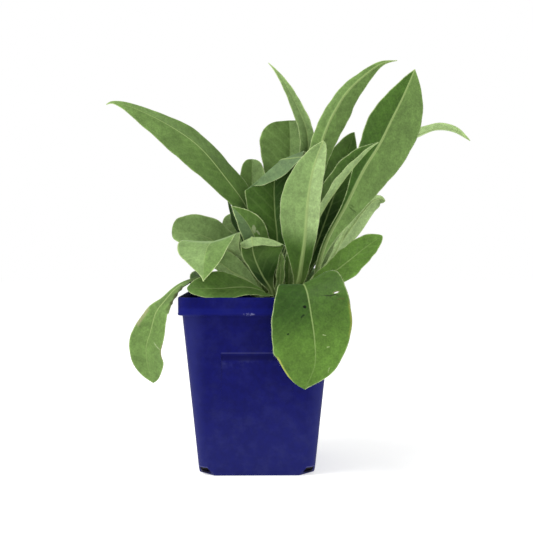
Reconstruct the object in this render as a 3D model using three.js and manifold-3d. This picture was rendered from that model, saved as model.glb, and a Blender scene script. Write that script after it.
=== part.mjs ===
// A young clump-forming cornflower in a square nursery pot, millimetres, +Z up.
// The origin is the centre of the pot's flat underside. The pot's front faces -Y.
import * as THREE from 'three';
import { mergeVertices } from 'three/addons/utils/BufferGeometryUtils.js';
import Module from 'manifold-3d';

// Pot: a thin moulded square pot with a rim band and stepped drain corners
const potHeight = 126;
const rimHalf = 55;
const rimBand = 12.8;
const rimStep = 0.4;
const rimRound = 0.5;
const shoulderHalf = 52;
const footHalf = 41;
const potWall = 1.2;
const cornerRadius = 8.5;
const cornerSteps = 5;
const footChamfer = 0.8;
const drainStart = 29;
const drainEnd = 34.5;
const drainTop = 5.8;
const padTop = 3.1;
const panelHalf = 24.8;
const panelBottom = 53;
const panelTop = 87;
const panelDepth = 0.35;

// Potting soil and the short shoots that the leaves grow from
const seatGap = 0.3;
const soilEdge = 116.5;
const soilMound = 3.4;
const soilCentre = [19, 1];
const soilSpread = 27;
const soilCells = 11;
const soilHollows = { high: [0.6, 0.4], across: [0.23, 0.11], back: [0.21, 0.17] };
const shootFoot = 96;
const shootTop = 127.5;
const shootRadius = 5.5;
const shootSides = 12;
const shootTaper = 8;
const shootDome = 4;
const shoots = {
  front_left: [9, -8],
  front_right: [29, -8],
  back_left: [9, 11],
  back_right: [29, 11],
};

// Leaf section: blade thickness, and the rib that stands out below it
const bladeThickness = 0.8;
const ribDepth = [2.1, 0.35];
const stalkHalf = [2.3, 0.9];
const edgeHalf = 0.3;
const leafRows = 16;
const tipCrowding = 1.3;
const leafColumns = [-1, -0.5, 0, 0.5, 1];

// Each leaf: its midrib from base to tip, the way its upper side faces along it,
// its width, and how its halves are folded and curled (degrees, base to tip). Where it is
// broadest and how fast it fills out from its foot and narrows to its point give its outline.
// Left and right are as seen on the upper side with the tip up; a pair is for the two halves.
const leaves = [
  {
    name: 'leaf_upper_left',
    midrib: [[7.5, -3.5, 127], [6, -2, 140], [1, -2, 165], [-7.5, -3, 190], [-23.5, -8, 212.5],
      [-42, -12, 234], [-61, -16, 247.5], [-84, -20, 259], [-97, -22, 263.5], [-104, -23, 264.5],
      [-108, -24, 263]],
    faces: [[0.8, -0.2, 0.3], [0.6, -0.6, 0.5], [0.35, -0.65, 0.65], [0.3, -0.65, 0.7]],
    width: [46, 37], stalk: 0.16, broadest: [0.62, 0.45], foot: [1.8, 2], point: [1.5, 1.1],
    left: [5, -10, -10], right: [10, -15, -15], wave: [0.8, 3, 0],
  },
  {
    name: 'leaf_top_narrow',
    midrib: [[25, 9, 126], [29, 11, 150], [35, 13, 190], [38, 14, 225], [39, 15, 241], [37, 16, 254],
      [30, 18, 271], [25, 20, 281], [19.5, 23, 291], [14, 26, 299], [9, 29, 305]],
    faces: [[0.2, -1, 0.1], [0.3, -0.95, 0.1]],
    width: [15, 10], stalk: 0.2, broadest: 0.55, foot: 1.3, point: 1.4, left: [15], right: [15],
  },
  {
    name: 'leaf_top_arched',
    midrib: [[28, -5, 126], [33, -3, 150], [38, -1, 180], [43, 0, 212], [48.5, 1, 239], [54, 4, 254],
      [60, 6, 265.5], [68, 9, 278], [81, 13, 291], [96, 17, 302], [108, 20, 305]],
    faces: [[-0.5, 0.8, 0.2], [-0.35, 0.85, 0.25], [-0.35, 0.85, 0.35]],
    width: [28, 16], stalk: 0.2, broadest: [0.66, 0.55], foot: [3, 1.5], point: [2.2, 1.3],
    left: [0], right: [10, 25, 40, 40], curlLeft: [10], curlRight: [15, 25, 30],
  },
  {
    name: 'leaf_tall_right',
    midrib: [[34.3, -10, 122.5], [42, -9, 134], [46, -8, 150], [52, -7, 167], [66, -4, 192],
      [80, 0, 219], [92, 2, 238], [101, 3, 256], [110, 4, 274], [119, 5, 295]],
    faces: [[-0.7, 0.5, 0.4], [-0.3, 0.9, 0.15], [-0.3, 0.9, 0.15]],
    width: [56, 32], stalk: 0.14, broadest: [0.75, 0.72], foot: [2.2, 9], point: [1, 1.05],
    left: [3], right: [25],
  },
  {
    name: 'leaf_far_right',
    midrib: [[34, 12, 124], [43, 18, 137], [54, 23, 152], [63, 28, 168], [74, 31, 190], [94, 32, 220],
      [116, 31, 243], [131, 30, 251], [142, 28, 254], [155, 26, 252], [166, 24, 244]],
    faces: [[-0.8, 0.4, 0.4], [-0.6, 0.5, 0.6], [-0.3, 0.4, 0.9], [0, 0.3, 1]],
    width: 19, stalk: 0.25, broadest: 0.6, foot: 1.5, point: 0.85, left: [8], right: [8],
  },
  {
    name: 'leaf_round_back',
    midrib: [[13, 12.5, 126.5], [17, 20, 150], [21, 26, 185], [25, 29, 220], [26, 31, 245],
      [25, 31, 260.5]],
    faces: [[0, -1, 0.2], [0, -1, 0.25], [0, -1, 0.3]],
    width: [48, 42], stalk: 0.3, broadest: [0.86, 0.8], foot: [2.7, 2], point: [0.3, 0.4],
    left: [8], right: [8],
  },
  {
    name: 'leaf_small_back',
    midrib: [[9.5, 10, 127.5], [4, 13, 150], [-3, 18, 182], [-4, 20, 210], [-4, 20.5, 229]],
    faces: [[0.2, -1, 0.2]],
    width: 23, stalk: 0.3, broadest: 0.74, foot: 1.6, point: 0.4,
    left: [18], right: [18], wave: [1.2, 2.5, 1],
  },
  {
    name: 'leaf_folded_standing',
    midrib: [[12, -7, 126], [15, -8, 145], [15, -8, 166], [13, -8, 190], [13, -8, 210], [17, -8, 229],
      [21.5, -8, 243]],
    faces: [[0, -1, 0.2]],
    width: [44, 45], stalk: 0.22, broadest: [0.66, 0.8], foot: [1.6, 2.2], point: [0.9, 0.5],
    left: [10], right: [10],
    crease: { at: [12, -8, 216], along: [0.84, 0, 0.54], over: [0, -1, 0], radius: 4, angle: 135, bow: 0 },
  },
  {
    name: 'leaf_front_pale',
    midrib: [[26.5, -12.5, 124.5], [30, -21, 136], [32, -26, 150], [34, -30, 166], [36, -33, 194],
      [39, -34, 213], [43, -34, 226], [47, -33, 236]],
    faces: [[0, 0.9, 0.3], [0, 1, 0.1], [0, 1, 0.1]],
    width: [20, 40], stalk: 0.14, broadest: [0.6, 0.52], foot: [0.8, 1.8], point: [0.5, 1],
    left: [10], right: [10], curlLeft: [20], curlRight: [20],
  },
  {
    name: 'leaf_dark_back',
    midrib: [[30.5, 9, 127], [38, 8, 145], [46, 9, 165], [57, 11, 195], [67, 15, 225], [75, 18, 249.5]],
    faces: [[0, -1, 0.1]],
    width: [35, 25], stalk: 0.25, broadest: [0.55, 0.6], foot: [0.9, 1.2], point: [0.75, 1.1],
    left: [12], right: [5],
  },
  {
    name: 'leaf_keeled',
    midrib: [[30, -10, 126], [34, -11, 140], [38, -12, 160], [43, -12, 178], [51, -13, 193],
      [60, -15, 206], [71, -17, 220], [83, -19, 233], [88, -19, 237]],
    faces: [[-0.8, -0.15, 0.6], [-0.75, -0.15, 0.6]],
    width: [22, 14], stalk: 0.2, broadest: 0.6, foot: 1.3, point: 0.8, left: [60], right: [42],
  },
  {
    name: 'leaf_right_behind',
    midrib: [[33, -2.6, 124.5], [45, 2.3, 138], [56, 6, 152], [65, 12, 166], [74, 18, 178],
      [83, 22, 189.5], [90, 24, 196.5], [96.5, 25, 199], [100, 25, 197]],
    faces: [[-0.5, 0.7, 0.4], [-0.2, 0.95, 0.1]],
    width: [22, 17], stalk: 0.25, broadest: 0.62, foot: 1.2, point: [0.5, 1], left: [8], right: [8],
  },
  {
    name: 'leaf_right_low',
    midrib: [[33.6, -14, 121.4], [44.7, -20.2, 137], [56, -21, 143], [68, -21, 152], [78, -20, 160],
      [91, -20, 169]],
    faces: [[-0.4, -0.75, 0.6]],
    width: [22, 36], stalk: 0.25, broadest: [0.6, 0.45], foot: 1.2, point: [0.65, 0.75],
    left: [10], right: [10],
  },
  {
    name: 'leaf_front_bent',
    midrib: [[29.5, -13.8, 120.6], [31, -28, 130], [32, -46, 135], [34, -58, 130], [36.5, -66, 114],
      [38.5, -69, 98], [38.5, -70, 82], [32, -70, 65.5]],
    faces: [[0, 0.3, 1], [0, 0, 1], [0, -1, 0.5], [0, -1, 0], [0, -1, 0]],
    width: [57, 57], stalk: 0.18, broadest: [0.5, 0.72], foot: [1.3, 1], point: [1.25, 0.5],
    left: [20, 25, 8], right: [-5, -5, 5], wave: [1, 2.5, 0],
  },
  {
    name: 'leaf_crown_folded',
    midrib: [[12, -13, 124.5], [10.3, -15, 130], [4, -17.5, 140], [-1, -19, 151], [-3, -19.5, 158],
      [-3.5, -19.5, 165], [-3.5, -19.5, 173], [-3, -19.5, 182]],
    faces: [[0.2, -0.9, 0.4], [0.1, -1, 0.3]],
    width: [17, 47], stalk: 0.2, broadest: 0.7, foot: [1.2, 1.6], point: 0.35, left: [0], right: [10],
    crease: { at: [3, -19.5, 165.3], along: [1, 0, 0], over: [0, -1, 0], radius: 3, angle: 145, bow: 0.012 },
  },
  {
    name: 'leaf_left_bent',
    midrib: [[4.5, -4, 124.5], [-4, -6, 139], [-13, -11, 152], [-23, -19, 161.5], [-30, -30, 165],
      [-34.5, -39, 161], [-36.5, -46.5, 151], [-37, -51, 137]],
    faces: [[0.6, 0, 0.6], [-0.3, 0, 1], [-0.4, -0.5, 1], [-0.3, -1, 0.3]],
    width: [44, 48], stalk: 0.2, broadest: 0.65, foot: [5, 1.5], point: [1.3, 1.8], left: [5], right: [5],
  },
  {
    name: 'leaf_left_under',
    midrib: [[5, -12, 123.5], [-4, -21.5, 135], [-18, -25, 143], [-27, -25.5, 149.5], [-36, -24, 153]],
    faces: [[0.25, -0.8, 0.55]],
    width: [19, 23], stalk: 0.2, broadest: [0.6, 0.65], foot: [1, 2.8], point: 0.6,
    left: [10], right: [10],
  },
  {
    name: 'leaf_left_round',
    midrib: [[4, 9, 122], [-7, 12, 143], [-25, 16, 160], [-45, 16, 171], [-65, 12, 172]],
    faces: [[0.3, -0.7, 0.6], [0.1, -0.8, 0.5]],
    width: 32, stalk: 0.25, broadest: 0.72, foot: 1.2, point: 0.4, left: [10], right: [10],
  },
  {
    name: 'leaf_left_behind',
    midrib: [[5, 13.5, 126.5], [-1, 21, 143], [-11, 29, 165], [-22, 31, 187]],
    faces: [[0.2, -0.9, 0.3]],
    width: 26, stalk: 0.25, broadest: 0.7, foot: 1.4, point: 0.45, left: [10], right: [10],
  },
  {
    name: 'leaf_left_dark',
    midrib: [[7, 6, 126], [-2, 2, 150], [-10, 0, 168], [-16, 0, 180], [-22, 1, 196]],
    faces: [[-0.8, -0.6, -0.3]],
    width: [6, 14], stalk: 0.25, broadest: 0.6, foot: 1.1, point: [1, 0.8], left: [15], right: [15],
  },
  {
    name: 'leaf_left_inner',
    midrib: [[6.5, -9, 127.5], [4, -11, 146], [0, -13, 164], [-4.5, -15.5, 174], [-10, -17, 182], [-18.5, -17.5, 190.5]],
    faces: [[0.1, -0.85, 0.5]],
    width: [20, 21], stalk: 0.2, broadest: 0.6, foot: 1, point: [1.2, 1.1], left: [5], right: [5],
  },
  {
    name: 'leaf_rim_low',
    midrib: [[8.5, -13, 121], [6.5, -27, 128], [-4, -36, 132], [-14, -39.5, 132.5], [-28, -41, 131.5],
      [-44, -41, 132], [-49, -41, 132]],
    faces: [[0, -0.6, 0.8], [0, -0.82, 0.58]],
    width: [22, 27], stalk: 0.2, broadest: [0.6, 0.66], foot: [0.8, 4.5], point: [0.6, 0.85],
    left: [6], right: [6],
  },
  {
    name: 'leaf_left_drooped',
    midrib: [[3.8, -8, 121], [-15, -17, 134], [-35, -25, 139], [-50, -30, 136], [-58, -32, 131],
      [-65, -34, 123], [-71, -36, 115], [-75, -37, 101], [-78, -38, 90], [-77, -38, 78],
      [-73, -38, 65]],
    faces: [[0, -0.3, 1], [-0.2, -0.4, 0.9], [-0.5, -0.7, 0.5], [-0.4, -0.9, 0], [-0.4, -0.9, 0]],
    width: [31, 26], stalk: 0.35, broadest: [0.8, 0.75], foot: [1.6, 6], point: [0.6, 1],
    left: [8], right: [8], wave: [1.2, 3, 0],
  },
  {
    name: 'leaf_young_left',
    midrib: [[14.8, -10.5, 124], [16.3, -13, 132], [17.2, -14.5, 142], [17.6, -15, 150],
      [17.6, -15.5, 158]],
    faces: [[0, -1, 0.2]],
    width: 6, stalk: 0.2, broadest: 0.5, foot: 1, point: 1, left: [15], right: [15],
  },
  {
    name: 'leaf_young_centre',
    midrib: [[23.4, -8, 125.5], [23.4, -11, 135], [23.5, -13, 147], [23.1, -14, 160]],
    faces: [[0, -1, 0.2]],
    width: 8, stalk: 0.2, broadest: 0.5, foot: 1, point: 1, left: [15], right: [15],
  },
  {
    name: 'leaf_young_right',
    midrib: [[34.8, -5.8, 124.2], [40, -4.3, 132], [45, -3.2, 137.5], [50.6, -1.5, 143], [56.8, 0, 154],
      [62.9, 1, 165.7], [69.3, 4, 181]],
    faces: [[-0.6, 0.6, 0.4]],
    width: 5.6, stalk: 0.3, broadest: 0.6, foot: 1.2, point: 1, left: [15], right: [15],
  },
  {
    name: 'leaf_back_left',
    midrib: [[8, 16, 124], [-1, 33, 150], [-14, 50, 168], [-24, 66, 176], [-34, 80, 174]],
    faces: [[0.4, -0.6, 0.7], [0.2, -0.3, 1]],
    width: 34, stalk: 0.22, broadest: 0.6, foot: 1.3, point: 0.75, left: [15], right: [15],
  },
  {
    name: 'leaf_back_centre',
    midrib: [[24.5, 14.5, 126], [19, 30, 152], [14, 42, 185], [10, 52, 210], [7, 66, 221]],
    faces: [[0, -1, 0.3], [0, -0.7, 0.7]],
    width: 36, stalk: 0.22, broadest: 0.6, foot: 1.3, point: 0.75, left: [15], right: [15],
  },
  {
    name: 'leaf_back_right',
    midrib: [[30, 17, 123.5], [41, 32, 150], [51, 46, 175], [60, 62, 186], [68, 78, 186]],
    faces: [[-0.4, -0.6, 0.7], [-0.2, -0.3, 1]],
    width: 36, stalk: 0.22, broadest: 0.6, foot: 1.3, point: 0.75, left: [15], right: [15],
  },
  {
    name: 'leaf_back_drooped',
    midrib: [[26, 16, 121], [20, 34, 132], [14, 52, 136], [10, 66, 128], [8, 73, 108], [6, 76, 86]],
    faces: [[0, -0.3, 1], [0, 0, 1], [0, 1, 0.5], [0, 1, 0], [0, 1, 0]],
    width: 44, stalk: 0.2, broadest: 0.62, foot: 1.1, point: 0.55, left: [8], right: [8],
  },
  {
    name: 'leaf_back_low_left',
    midrib: [[3.5, 13.5, 121], [-10, 26, 132], [-27, 38, 138], [-40, 50, 138], [-51, 62, 131]],
    faces: [[0.3, -0.3, 1], [0, 0, 1]],
    width: 30, stalk: 0.25, broadest: 0.6, foot: 1.1, point: 0.65, left: [12], right: [12],
  },
  {
    name: 'leaf_back_low_right',
    midrib: [[33, 15, 121], [44, 26, 133], [52, 39, 140], [59, 52, 140], [65, 65, 133]],
    faces: [[-0.3, -0.3, 1], [0, 0, 1]],
    width: 30, stalk: 0.25, broadest: 0.6, foot: 1.1, point: 0.65, left: [12], right: [12],
  },
  {
    name: 'leaf_back_inner',
    midrib: [[30, 15, 127], [36, 24, 150], [42, 32, 180], [46, 41, 200], [50, 51, 211]],
    faces: [[-0.2, -1, 0.4]],
    width: 28, stalk: 0.25, broadest: 0.6, foot: 1.3, point: 0.75, left: [15], right: [15],
  },
];

const leafDefaults = { left: [10], right: [10], curlLeft: [10], curlRight: [10], wave: [0.5, 3, 0] };

const wasm = await Module();
wasm.setup();

function toSolid(geometry) {
  const plain = geometry.index ? geometry.toNonIndexed() : geometry.clone();
  plain.deleteAttribute('normal');
  plain.deleteAttribute('uv');
  const merged = mergeVertices(plain, 1e-5);
  return new wasm.Manifold(new wasm.Mesh({
    numProp: 3,
    vertProperties: new Float32Array(merged.attributes.position.array),
    triVerts: new Uint32Array(merged.index.array),
  }));
}

function toGeometry(solid) {
  const mesh = solid.getMesh();
  const geometry = new THREE.BufferGeometry();
  geometry.setAttribute('position', new THREE.BufferAttribute(new Float32Array(mesh.vertProperties), 3));
  geometry.setIndex(new THREE.BufferAttribute(new Uint32Array(mesh.triVerts), 1));
  geometry.computeVertexNormals();
  return geometry;
}

// A closed mesh through a stack of rings with the same number of points, anticlockwise from above
function stackRings(rings) {
  const count = rings[0].length;
  const points = rings.flat();
  const faces = [];
  for (let level = 0; level < rings.length - 1; level += 1) {
    for (let i = 0; i < count; i += 1) {
      const next = (i + 1) % count;
      const low = level * count;
      const high = low + count;
      faces.push(low + i, low + next, high + next, low + i, high + next, high + i);
    }
  }
  const top = (rings.length - 1) * count;
  for (let i = 1; i < count - 1; i += 1) {
    faces.push(0, i + 1, i);
    faces.push(top, top + i, top + i + 1);
  }
  return meshFrom(points, faces);
}

function meshFrom(points, faces) {
  const geometry = new THREE.BufferGeometry();
  geometry.setAttribute('position', new THREE.Float32BufferAttribute(points.flat(), 3));
  geometry.setIndex(faces);
  return geometry;
}

function squareRing(half, radius, z) {
  const ring = [];
  for (let corner = 0; corner < 4; corner += 1) {
    const middle = Math.PI / 4 + (corner * Math.PI) / 2;
    const x = Math.sign(Math.cos(middle)) * (half - radius);
    const y = Math.sign(Math.sin(middle)) * (half - radius);
    for (let step = 0; step <= cornerSteps; step += 1) {
      const angle = middle + (step / cornerSteps - 0.5) * (Math.PI / 2);
      ring.push([x + radius * Math.cos(angle), y + radius * Math.sin(angle), z]);
    }
  }
  return ring;
}

function bodyHalf(z) {
  return footHalf + ((shoulderHalf - footHalf) * z) / (potHeight - rimBand);
}

// The space above a drain corner: everything outside a slanted plane, up to a height
function cornerZone(corner, reach, top) {
  const sx = corner % 2 ? 1 : -1;
  const sy = corner < 2 ? -1 : 1;
  const far = rimHalf * 1.2;
  const lift = (drainEnd - drainStart) / drainTop;
  const low = drainStart + footHalf + reach - lift;
  const high = low + lift * (top + 1);
  const outline = (limit, z) => [
    [sx * (limit - far), sy * far, z],
    [sx * far, sy * far, z],
    [sx * far, sy * (limit - far), z],
  ];
  const rings = [outline(low, -1), outline(high, top)];
  return toSolid(stackRings(sx * sy < 0 ? rings : rings.map((ring) => ring.reverse())));
}

function makePot() {
  const bodyTop = potHeight - rimBand;
  const inner = (z) => bodyHalf(z) - potWall;
  const innerRadius = cornerRadius - potWall;
  let pot = toSolid(stackRings([
    squareRing(footHalf - footChamfer, cornerRadius - footChamfer, 0),
    squareRing(bodyHalf(footChamfer), cornerRadius, footChamfer),
    squareRing(shoulderHalf, cornerRadius, bodyTop),
    squareRing(rimHalf, cornerRadius + 1, bodyTop + rimStep),
    squareRing(rimHalf, cornerRadius + 1, potHeight - rimRound),
    squareRing(rimHalf - rimRound, cornerRadius + 1 - rimRound, potHeight),
  ]));
  let cavity = toSolid(stackRings([
    squareRing(inner(potWall), innerRadius, potWall),
    squareRing(inner(bodyTop), innerRadius, bodyTop + potWall),
    squareRing(rimHalf - potWall, cornerRadius, bodyTop + potWall + rimStep),
    squareRing(rimHalf - potWall, cornerRadius, potHeight + 1),
  ]));
  const wallRing = pot.subtract(toSolid(stackRings([
    squareRing(inner(0) - seatGap, innerRadius, -1),
    squareRing(inner(drainTop) - seatGap, innerRadius, drainTop + 1),
  ])));
  for (let corner = 0; corner < 4; corner += 1) {
    cavity = cavity.subtract(cornerZone(corner, -potWall * 2, padTop));
    pot = pot.subtract(cornerZone(corner, 0, padTop - potWall));
    pot = pot.subtract(wallRing.intersect(cornerZone(corner, 0, drainTop)));
  }
  return toGeometry(pot.subtract(cavity).subtract(panelSpace()));
}

// What is taken off the front wall for its shallow sunk panel
function panelSpace() {
  const ring = (z) => [
    [-panelHalf, -rimHalf, z],
    [panelHalf, -rimHalf, z],
    [panelHalf, panelDepth - bodyHalf(z), z],
    [-panelHalf, panelDepth - bodyHalf(z), z],
  ];
  return toSolid(stackRings([ring(panelBottom), ring(panelTop)]));
}

// The height of the soil: a low mound round the shoots, with shallow hollows
function soilHeight(x, y) {
  const away = Math.hypot(x - soilCentre[0], y - soilCentre[1]) / soilSpread;
  const { high, across, back } = soilHollows;
  const first = high[0] * Math.sin(x * across[0] + 1) * Math.cos(y * back[0]);
  const second = high[1] * Math.sin(x * across[1] + y * back[1]);
  return soilEdge + soilMound * Math.exp(-away * away) + first + second;
}

function makeSoil() {
  const bodyTop = potHeight - rimBand;
  const half = (z) => bodyHalf(z) - potWall - seatGap;
  const radius = cornerRadius - potWall;
  let soil = toSolid(stackRings([
    squareRing(half(potWall), radius, potWall + seatGap),
    squareRing(half(bodyTop), radius, bodyTop + potWall + 0.1),
    squareRing(rimHalf - potWall - seatGap, cornerRadius, bodyTop + potWall + 1),
    squareRing(rimHalf - potWall - seatGap, cornerRadius, potHeight),
  ]));
  const reach = rimHalf;
  const cell = (2 * reach) / soilCells;
  const points = [];
  const faces = [];
  const side = soilCells + 1;
  for (let layer = 0; layer < 2; layer += 1) {
    for (let i = 0; i < side; i += 1) {
      for (let j = 0; j < side; j += 1) {
        const x = -reach + i * cell;
        const y = -reach + j * cell;
        points.push([x, y, layer ? potHeight + 5 : soilHeight(x, y)]);
      }
    }
  }
  const at = (layer, i, j) => layer * side * side + i * side + j;
  for (let i = 0; i < soilCells; i += 1) {
    for (let j = 0; j < soilCells; j += 1) {
      for (const layer of [0, 1]) {
        const quad = [at(layer, i, j), at(layer, i + 1, j), at(layer, i + 1, j + 1), at(layer, i, j + 1)];
        const turned = layer ? quad : [quad[0], quad[3], quad[2], quad[1]];
        faces.push(turned[0], turned[1], turned[2], turned[0], turned[2], turned[3]);
      }
    }
  }
  for (let i = 0; i < soilCells; i += 1) {
    const walls = [
      [at(0, i, 0), at(0, i + 1, 0), at(1, i + 1, 0), at(1, i, 0)],
      [at(0, i + 1, soilCells), at(0, i, soilCells), at(1, i, soilCells), at(1, i + 1, soilCells)],
      [at(0, 0, i + 1), at(0, 0, i), at(1, 0, i), at(1, 0, i + 1)],
      [at(0, soilCells, i), at(0, soilCells, i + 1), at(1, soilCells, i + 1), at(1, soilCells, i)],
    ];
    for (const wall of walls) {
      faces.push(wall[0], wall[1], wall[2], wall[0], wall[2], wall[3]);
    }
  }
  soil = soil.subtract(toSolid(meshFrom(points, faces)));
  for (let corner = 0; corner < 4; corner += 1) {
    soil = soil.subtract(cornerZone(corner, -potWall * 2 - 3 * seatGap, padTop + seatGap));
  }
  for (const place of Object.values(shoots)) {
    soil = soil.subtract(toSolid(shootGeometry(seatGap).translate(place[0], place[1], 0)));
  }
  return toGeometry(soil);
}

// One shoot: a short round stem with a rounded top, its foot sunk in the soil
function shootGeometry(grow) {
  const outline = [[0, shootFoot - grow], [shootRadius * 0.6 + grow, shootFoot - grow]];
  outline.push([shootRadius + grow, shootFoot + shootTaper]);
  outline.push([shootRadius + grow, shootTop - shootDome]);
  for (const angle of [25, 50, 75]) {
    const turn = THREE.MathUtils.degToRad(angle);
    const level = shootTop - shootDome + (shootDome + grow) * Math.sin(turn);
    outline.push([(shootRadius + grow) * Math.cos(turn), level]);
  }
  outline.push([0, shootTop + grow]);
  const lathe = new THREE.LatheGeometry(outline.map(([r, z]) => new THREE.Vector2(r, z)), shootSides);
  return lathe.rotateX(Math.PI / 2);
}

function mix(values, t) {
  const place = THREE.MathUtils.clamp(t, 0, 1) * (values.length - 1);
  const index = Math.min(Math.floor(place), Math.max(0, values.length - 2));
  const next = Math.min(index + 1, values.length - 1);
  return THREE.MathUtils.lerp(values[index], values[next], place - index);
}

// A pair of values is for the left and the right half
function sided(value, side) {
  return Array.isArray(value) ? value[side < 0 ? 0 : 1] : value;
}

// How full a half of the blade is at s from 0 at the base to 1 at the tip
function bladeBody(leaf, side, s) {
  const start = leaf.stalk * 0.55;
  const q = THREE.MathUtils.clamp((s - start) / (1 - start), 0, 1);
  const broadest = sided(leaf.broadest, side);
  const share = q < broadest ? q / broadest : (1 - q) / (1 - broadest);
  return (share * (2 - share)) ** sided(q < broadest ? leaf.foot : leaf.point, side);
}

// Rows lie closer together towards the tip
function rowPlace(row, rows) {
  return 1 - (1 - row / rows) ** tipCrowding;
}

// The leaf's middle surface: rows from base to tip, each with one point per column
function leafSurface(leaf, rows, columns) {
  const curve = new THREE.CatmullRomCurve3(leaf.midrib.map((p) => new THREE.Vector3(...p)));
  curve.arcLengthDivisions = 400;
  const grid = [];
  for (let row = 0; row <= rows; row += 1) {
    const s = rowPlace(row, rows);
    const t = curve.getUtoTmapping(s);
    const centre = curve.getPoint(t);
    const along = curve.getTangent(t);
    const up = new THREE.Vector3(...[0, 1, 2].map((axis) => mix(leaf.faces.map((face) => face[axis]), t)));
    up.addScaledVector(along, -up.dot(along)).normalize();
    const across = new THREE.Vector3().crossVectors(along, up);
    const line = columns.map((column) => {
      const side = Math.sign(column);
      const reach = Math.abs(column);
      const body = bladeBody(leaf, side, s);
      const stalk = mix(stalkHalf, s) * (1 - body) * (1 - s ** 6);
      const span = stalk + (sided(leaf.width, side) / 2) * body + edgeHalf;
      const ease = Math.min(1, body * 1.6 + 0.15);
      const fold = THREE.MathUtils.degToRad(mix(side > 0 ? leaf.right : leaf.left, t)) * ease;
      const curl = THREE.MathUtils.degToRad(mix(side > 0 ? leaf.curlRight : leaf.curlLeft, t)) * ease;
      const out = (span / curl) * (Math.sin(fold + curl * reach) - Math.sin(fold));
      const ripple = leaf.wave[0] * body * reach * reach;
      const lift = (span / curl) * (Math.cos(fold) - Math.cos(fold + curl * reach))
        + ripple * Math.sin(2 * Math.PI * leaf.wave[1] * s + leaf.wave[2] + side * 1.1);
      return centre.clone().addScaledVector(across, side * out).addScaledVector(up, lift);
    });
    grid.push(line);
  }
  return leaf.crease ? creaseGrid(grid, leaf.crease) : grid;
}

// Bend everything past a line over it, round a small radius; bow makes the line an arc
function creaseGrid(grid, crease) {
  const at = new THREE.Vector3(...crease.at);
  const along = new THREE.Vector3(...crease.along).normalize();
  const over = new THREE.Vector3(...crease.over);
  over.addScaledVector(along, -over.dot(along)).normalize();
  const onward = new THREE.Vector3().crossVectors(along, over);
  const tip = grid[grid.length - 1][Math.floor(grid[0].length / 2)];
  if (tip.clone().sub(at).dot(onward) < 0) {
    onward.negate();
  }
  const most = THREE.MathUtils.degToRad(crease.angle);
  return grid.map((line) => line.map((point) => {
    const offset = point.clone().sub(at);
    const beside = offset.dot(along);
    const drop = crease.bow * beside * beside;
    const past = offset.dot(onward) + drop;
    if (past <= 0) {
      return point;
    }
    const turn = Math.min(past / crease.radius, most);
    const rest = Math.max(past - crease.radius * most, 0);
    const inside = crease.radius - offset.dot(over);
    return at.clone()
      .addScaledVector(along, beside)
      .addScaledVector(onward, inside * Math.sin(turn) + rest * Math.cos(turn) - drop)
      .addScaledVector(over, crease.radius - inside * Math.cos(turn) + rest * Math.sin(turn));
  }));
}

function gridNormal(grid, row, column) {
  const down = grid[Math.max(row - 1, 0)][column];
  const up = grid[Math.min(row + 1, grid.length - 1)][column];
  const left = grid[row][Math.max(column - 1, 0)];
  const right = grid[row][Math.min(column + 1, grid[0].length - 1)];
  const across = right.clone().sub(left);
  return across.cross(up.clone().sub(down)).normalize();
}

// A leaf as one closed solid: a thin blade with a rib below, triangulated alike on both faces
function leafSolid(given) {
  const leaf = { ...leafDefaults, ...given };
  const grid = leafSurface(leaf, leafRows, leafColumns);
  const width = leafColumns.length;
  const middle = (width - 1) / 2;
  const points = [];
  for (const face of [1, -1]) {
    grid.forEach((line, row) => {
      const s = rowPlace(row, leafRows);
      line.forEach((point, column) => {
        const rib = face < 0 && column === middle ? mix(ribDepth, s) : 0;
        const normal = gridNormal(grid, row, column);
        points.push(point.clone().addScaledVector(normal, face * (bladeThickness / 2 + rib)).toArray());
      });
    });
  }
  const faces = [];
  const at = (face, row, column) => face * grid.length * width + row * width + column;
  const quad = (a, b, c, d) => faces.push(a, b, c, a, c, d);
  for (let row = 0; row < grid.length - 1; row += 1) {
    for (let column = 0; column < width - 1; column += 1) {
      quad(at(0, row, column), at(0, row, column + 1), at(0, row + 1, column + 1), at(0, row + 1, column));
      faces.push(at(1, row, column), at(1, row + 1, column + 1), at(1, row, column + 1));
      faces.push(at(1, row, column), at(1, row + 1, column), at(1, row + 1, column + 1));
    }
    const edge = width - 1;
    quad(at(1, row, 0), at(0, row, 0), at(0, row + 1, 0), at(1, row + 1, 0));
    quad(at(0, row, edge), at(1, row, edge), at(1, row + 1, edge), at(0, row + 1, edge));
  }
  const end = grid.length - 1;
  for (let column = 0; column < width - 1; column += 1) {
    quad(at(0, 0, column), at(1, 0, column), at(1, 0, column + 1), at(0, 0, column + 1));
    quad(at(0, end, column), at(0, end, column + 1), at(1, end, column + 1), at(1, end, column));
  }
  return toSolid(meshFrom(points, faces));
}

function makeLeaf(leaf, seats) {
  return toGeometry(leafSolid(leaf).subtract(seats));
}

const group = new THREE.Group();
const materials = {
  pot: new THREE.MeshStandardMaterial({ color: 0x20205f, roughness: 0.42, metalness: 0 }),
  soil: new THREE.MeshStandardMaterial({ color: 0x2a1d14, roughness: 0.95, metalness: 0 }),
  shoot: new THREE.MeshStandardMaterial({ color: 0x9dad6a, roughness: 0.7, metalness: 0 }),
  leaf: new THREE.MeshStandardMaterial({ color: 0x5f8f45, roughness: 0.65, metalness: 0 }),
};

function addPiece(name, geometry, material) {
  const mesh = new THREE.Mesh(geometry, material);
  mesh.name = name;
  group.add(mesh);
}

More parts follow.
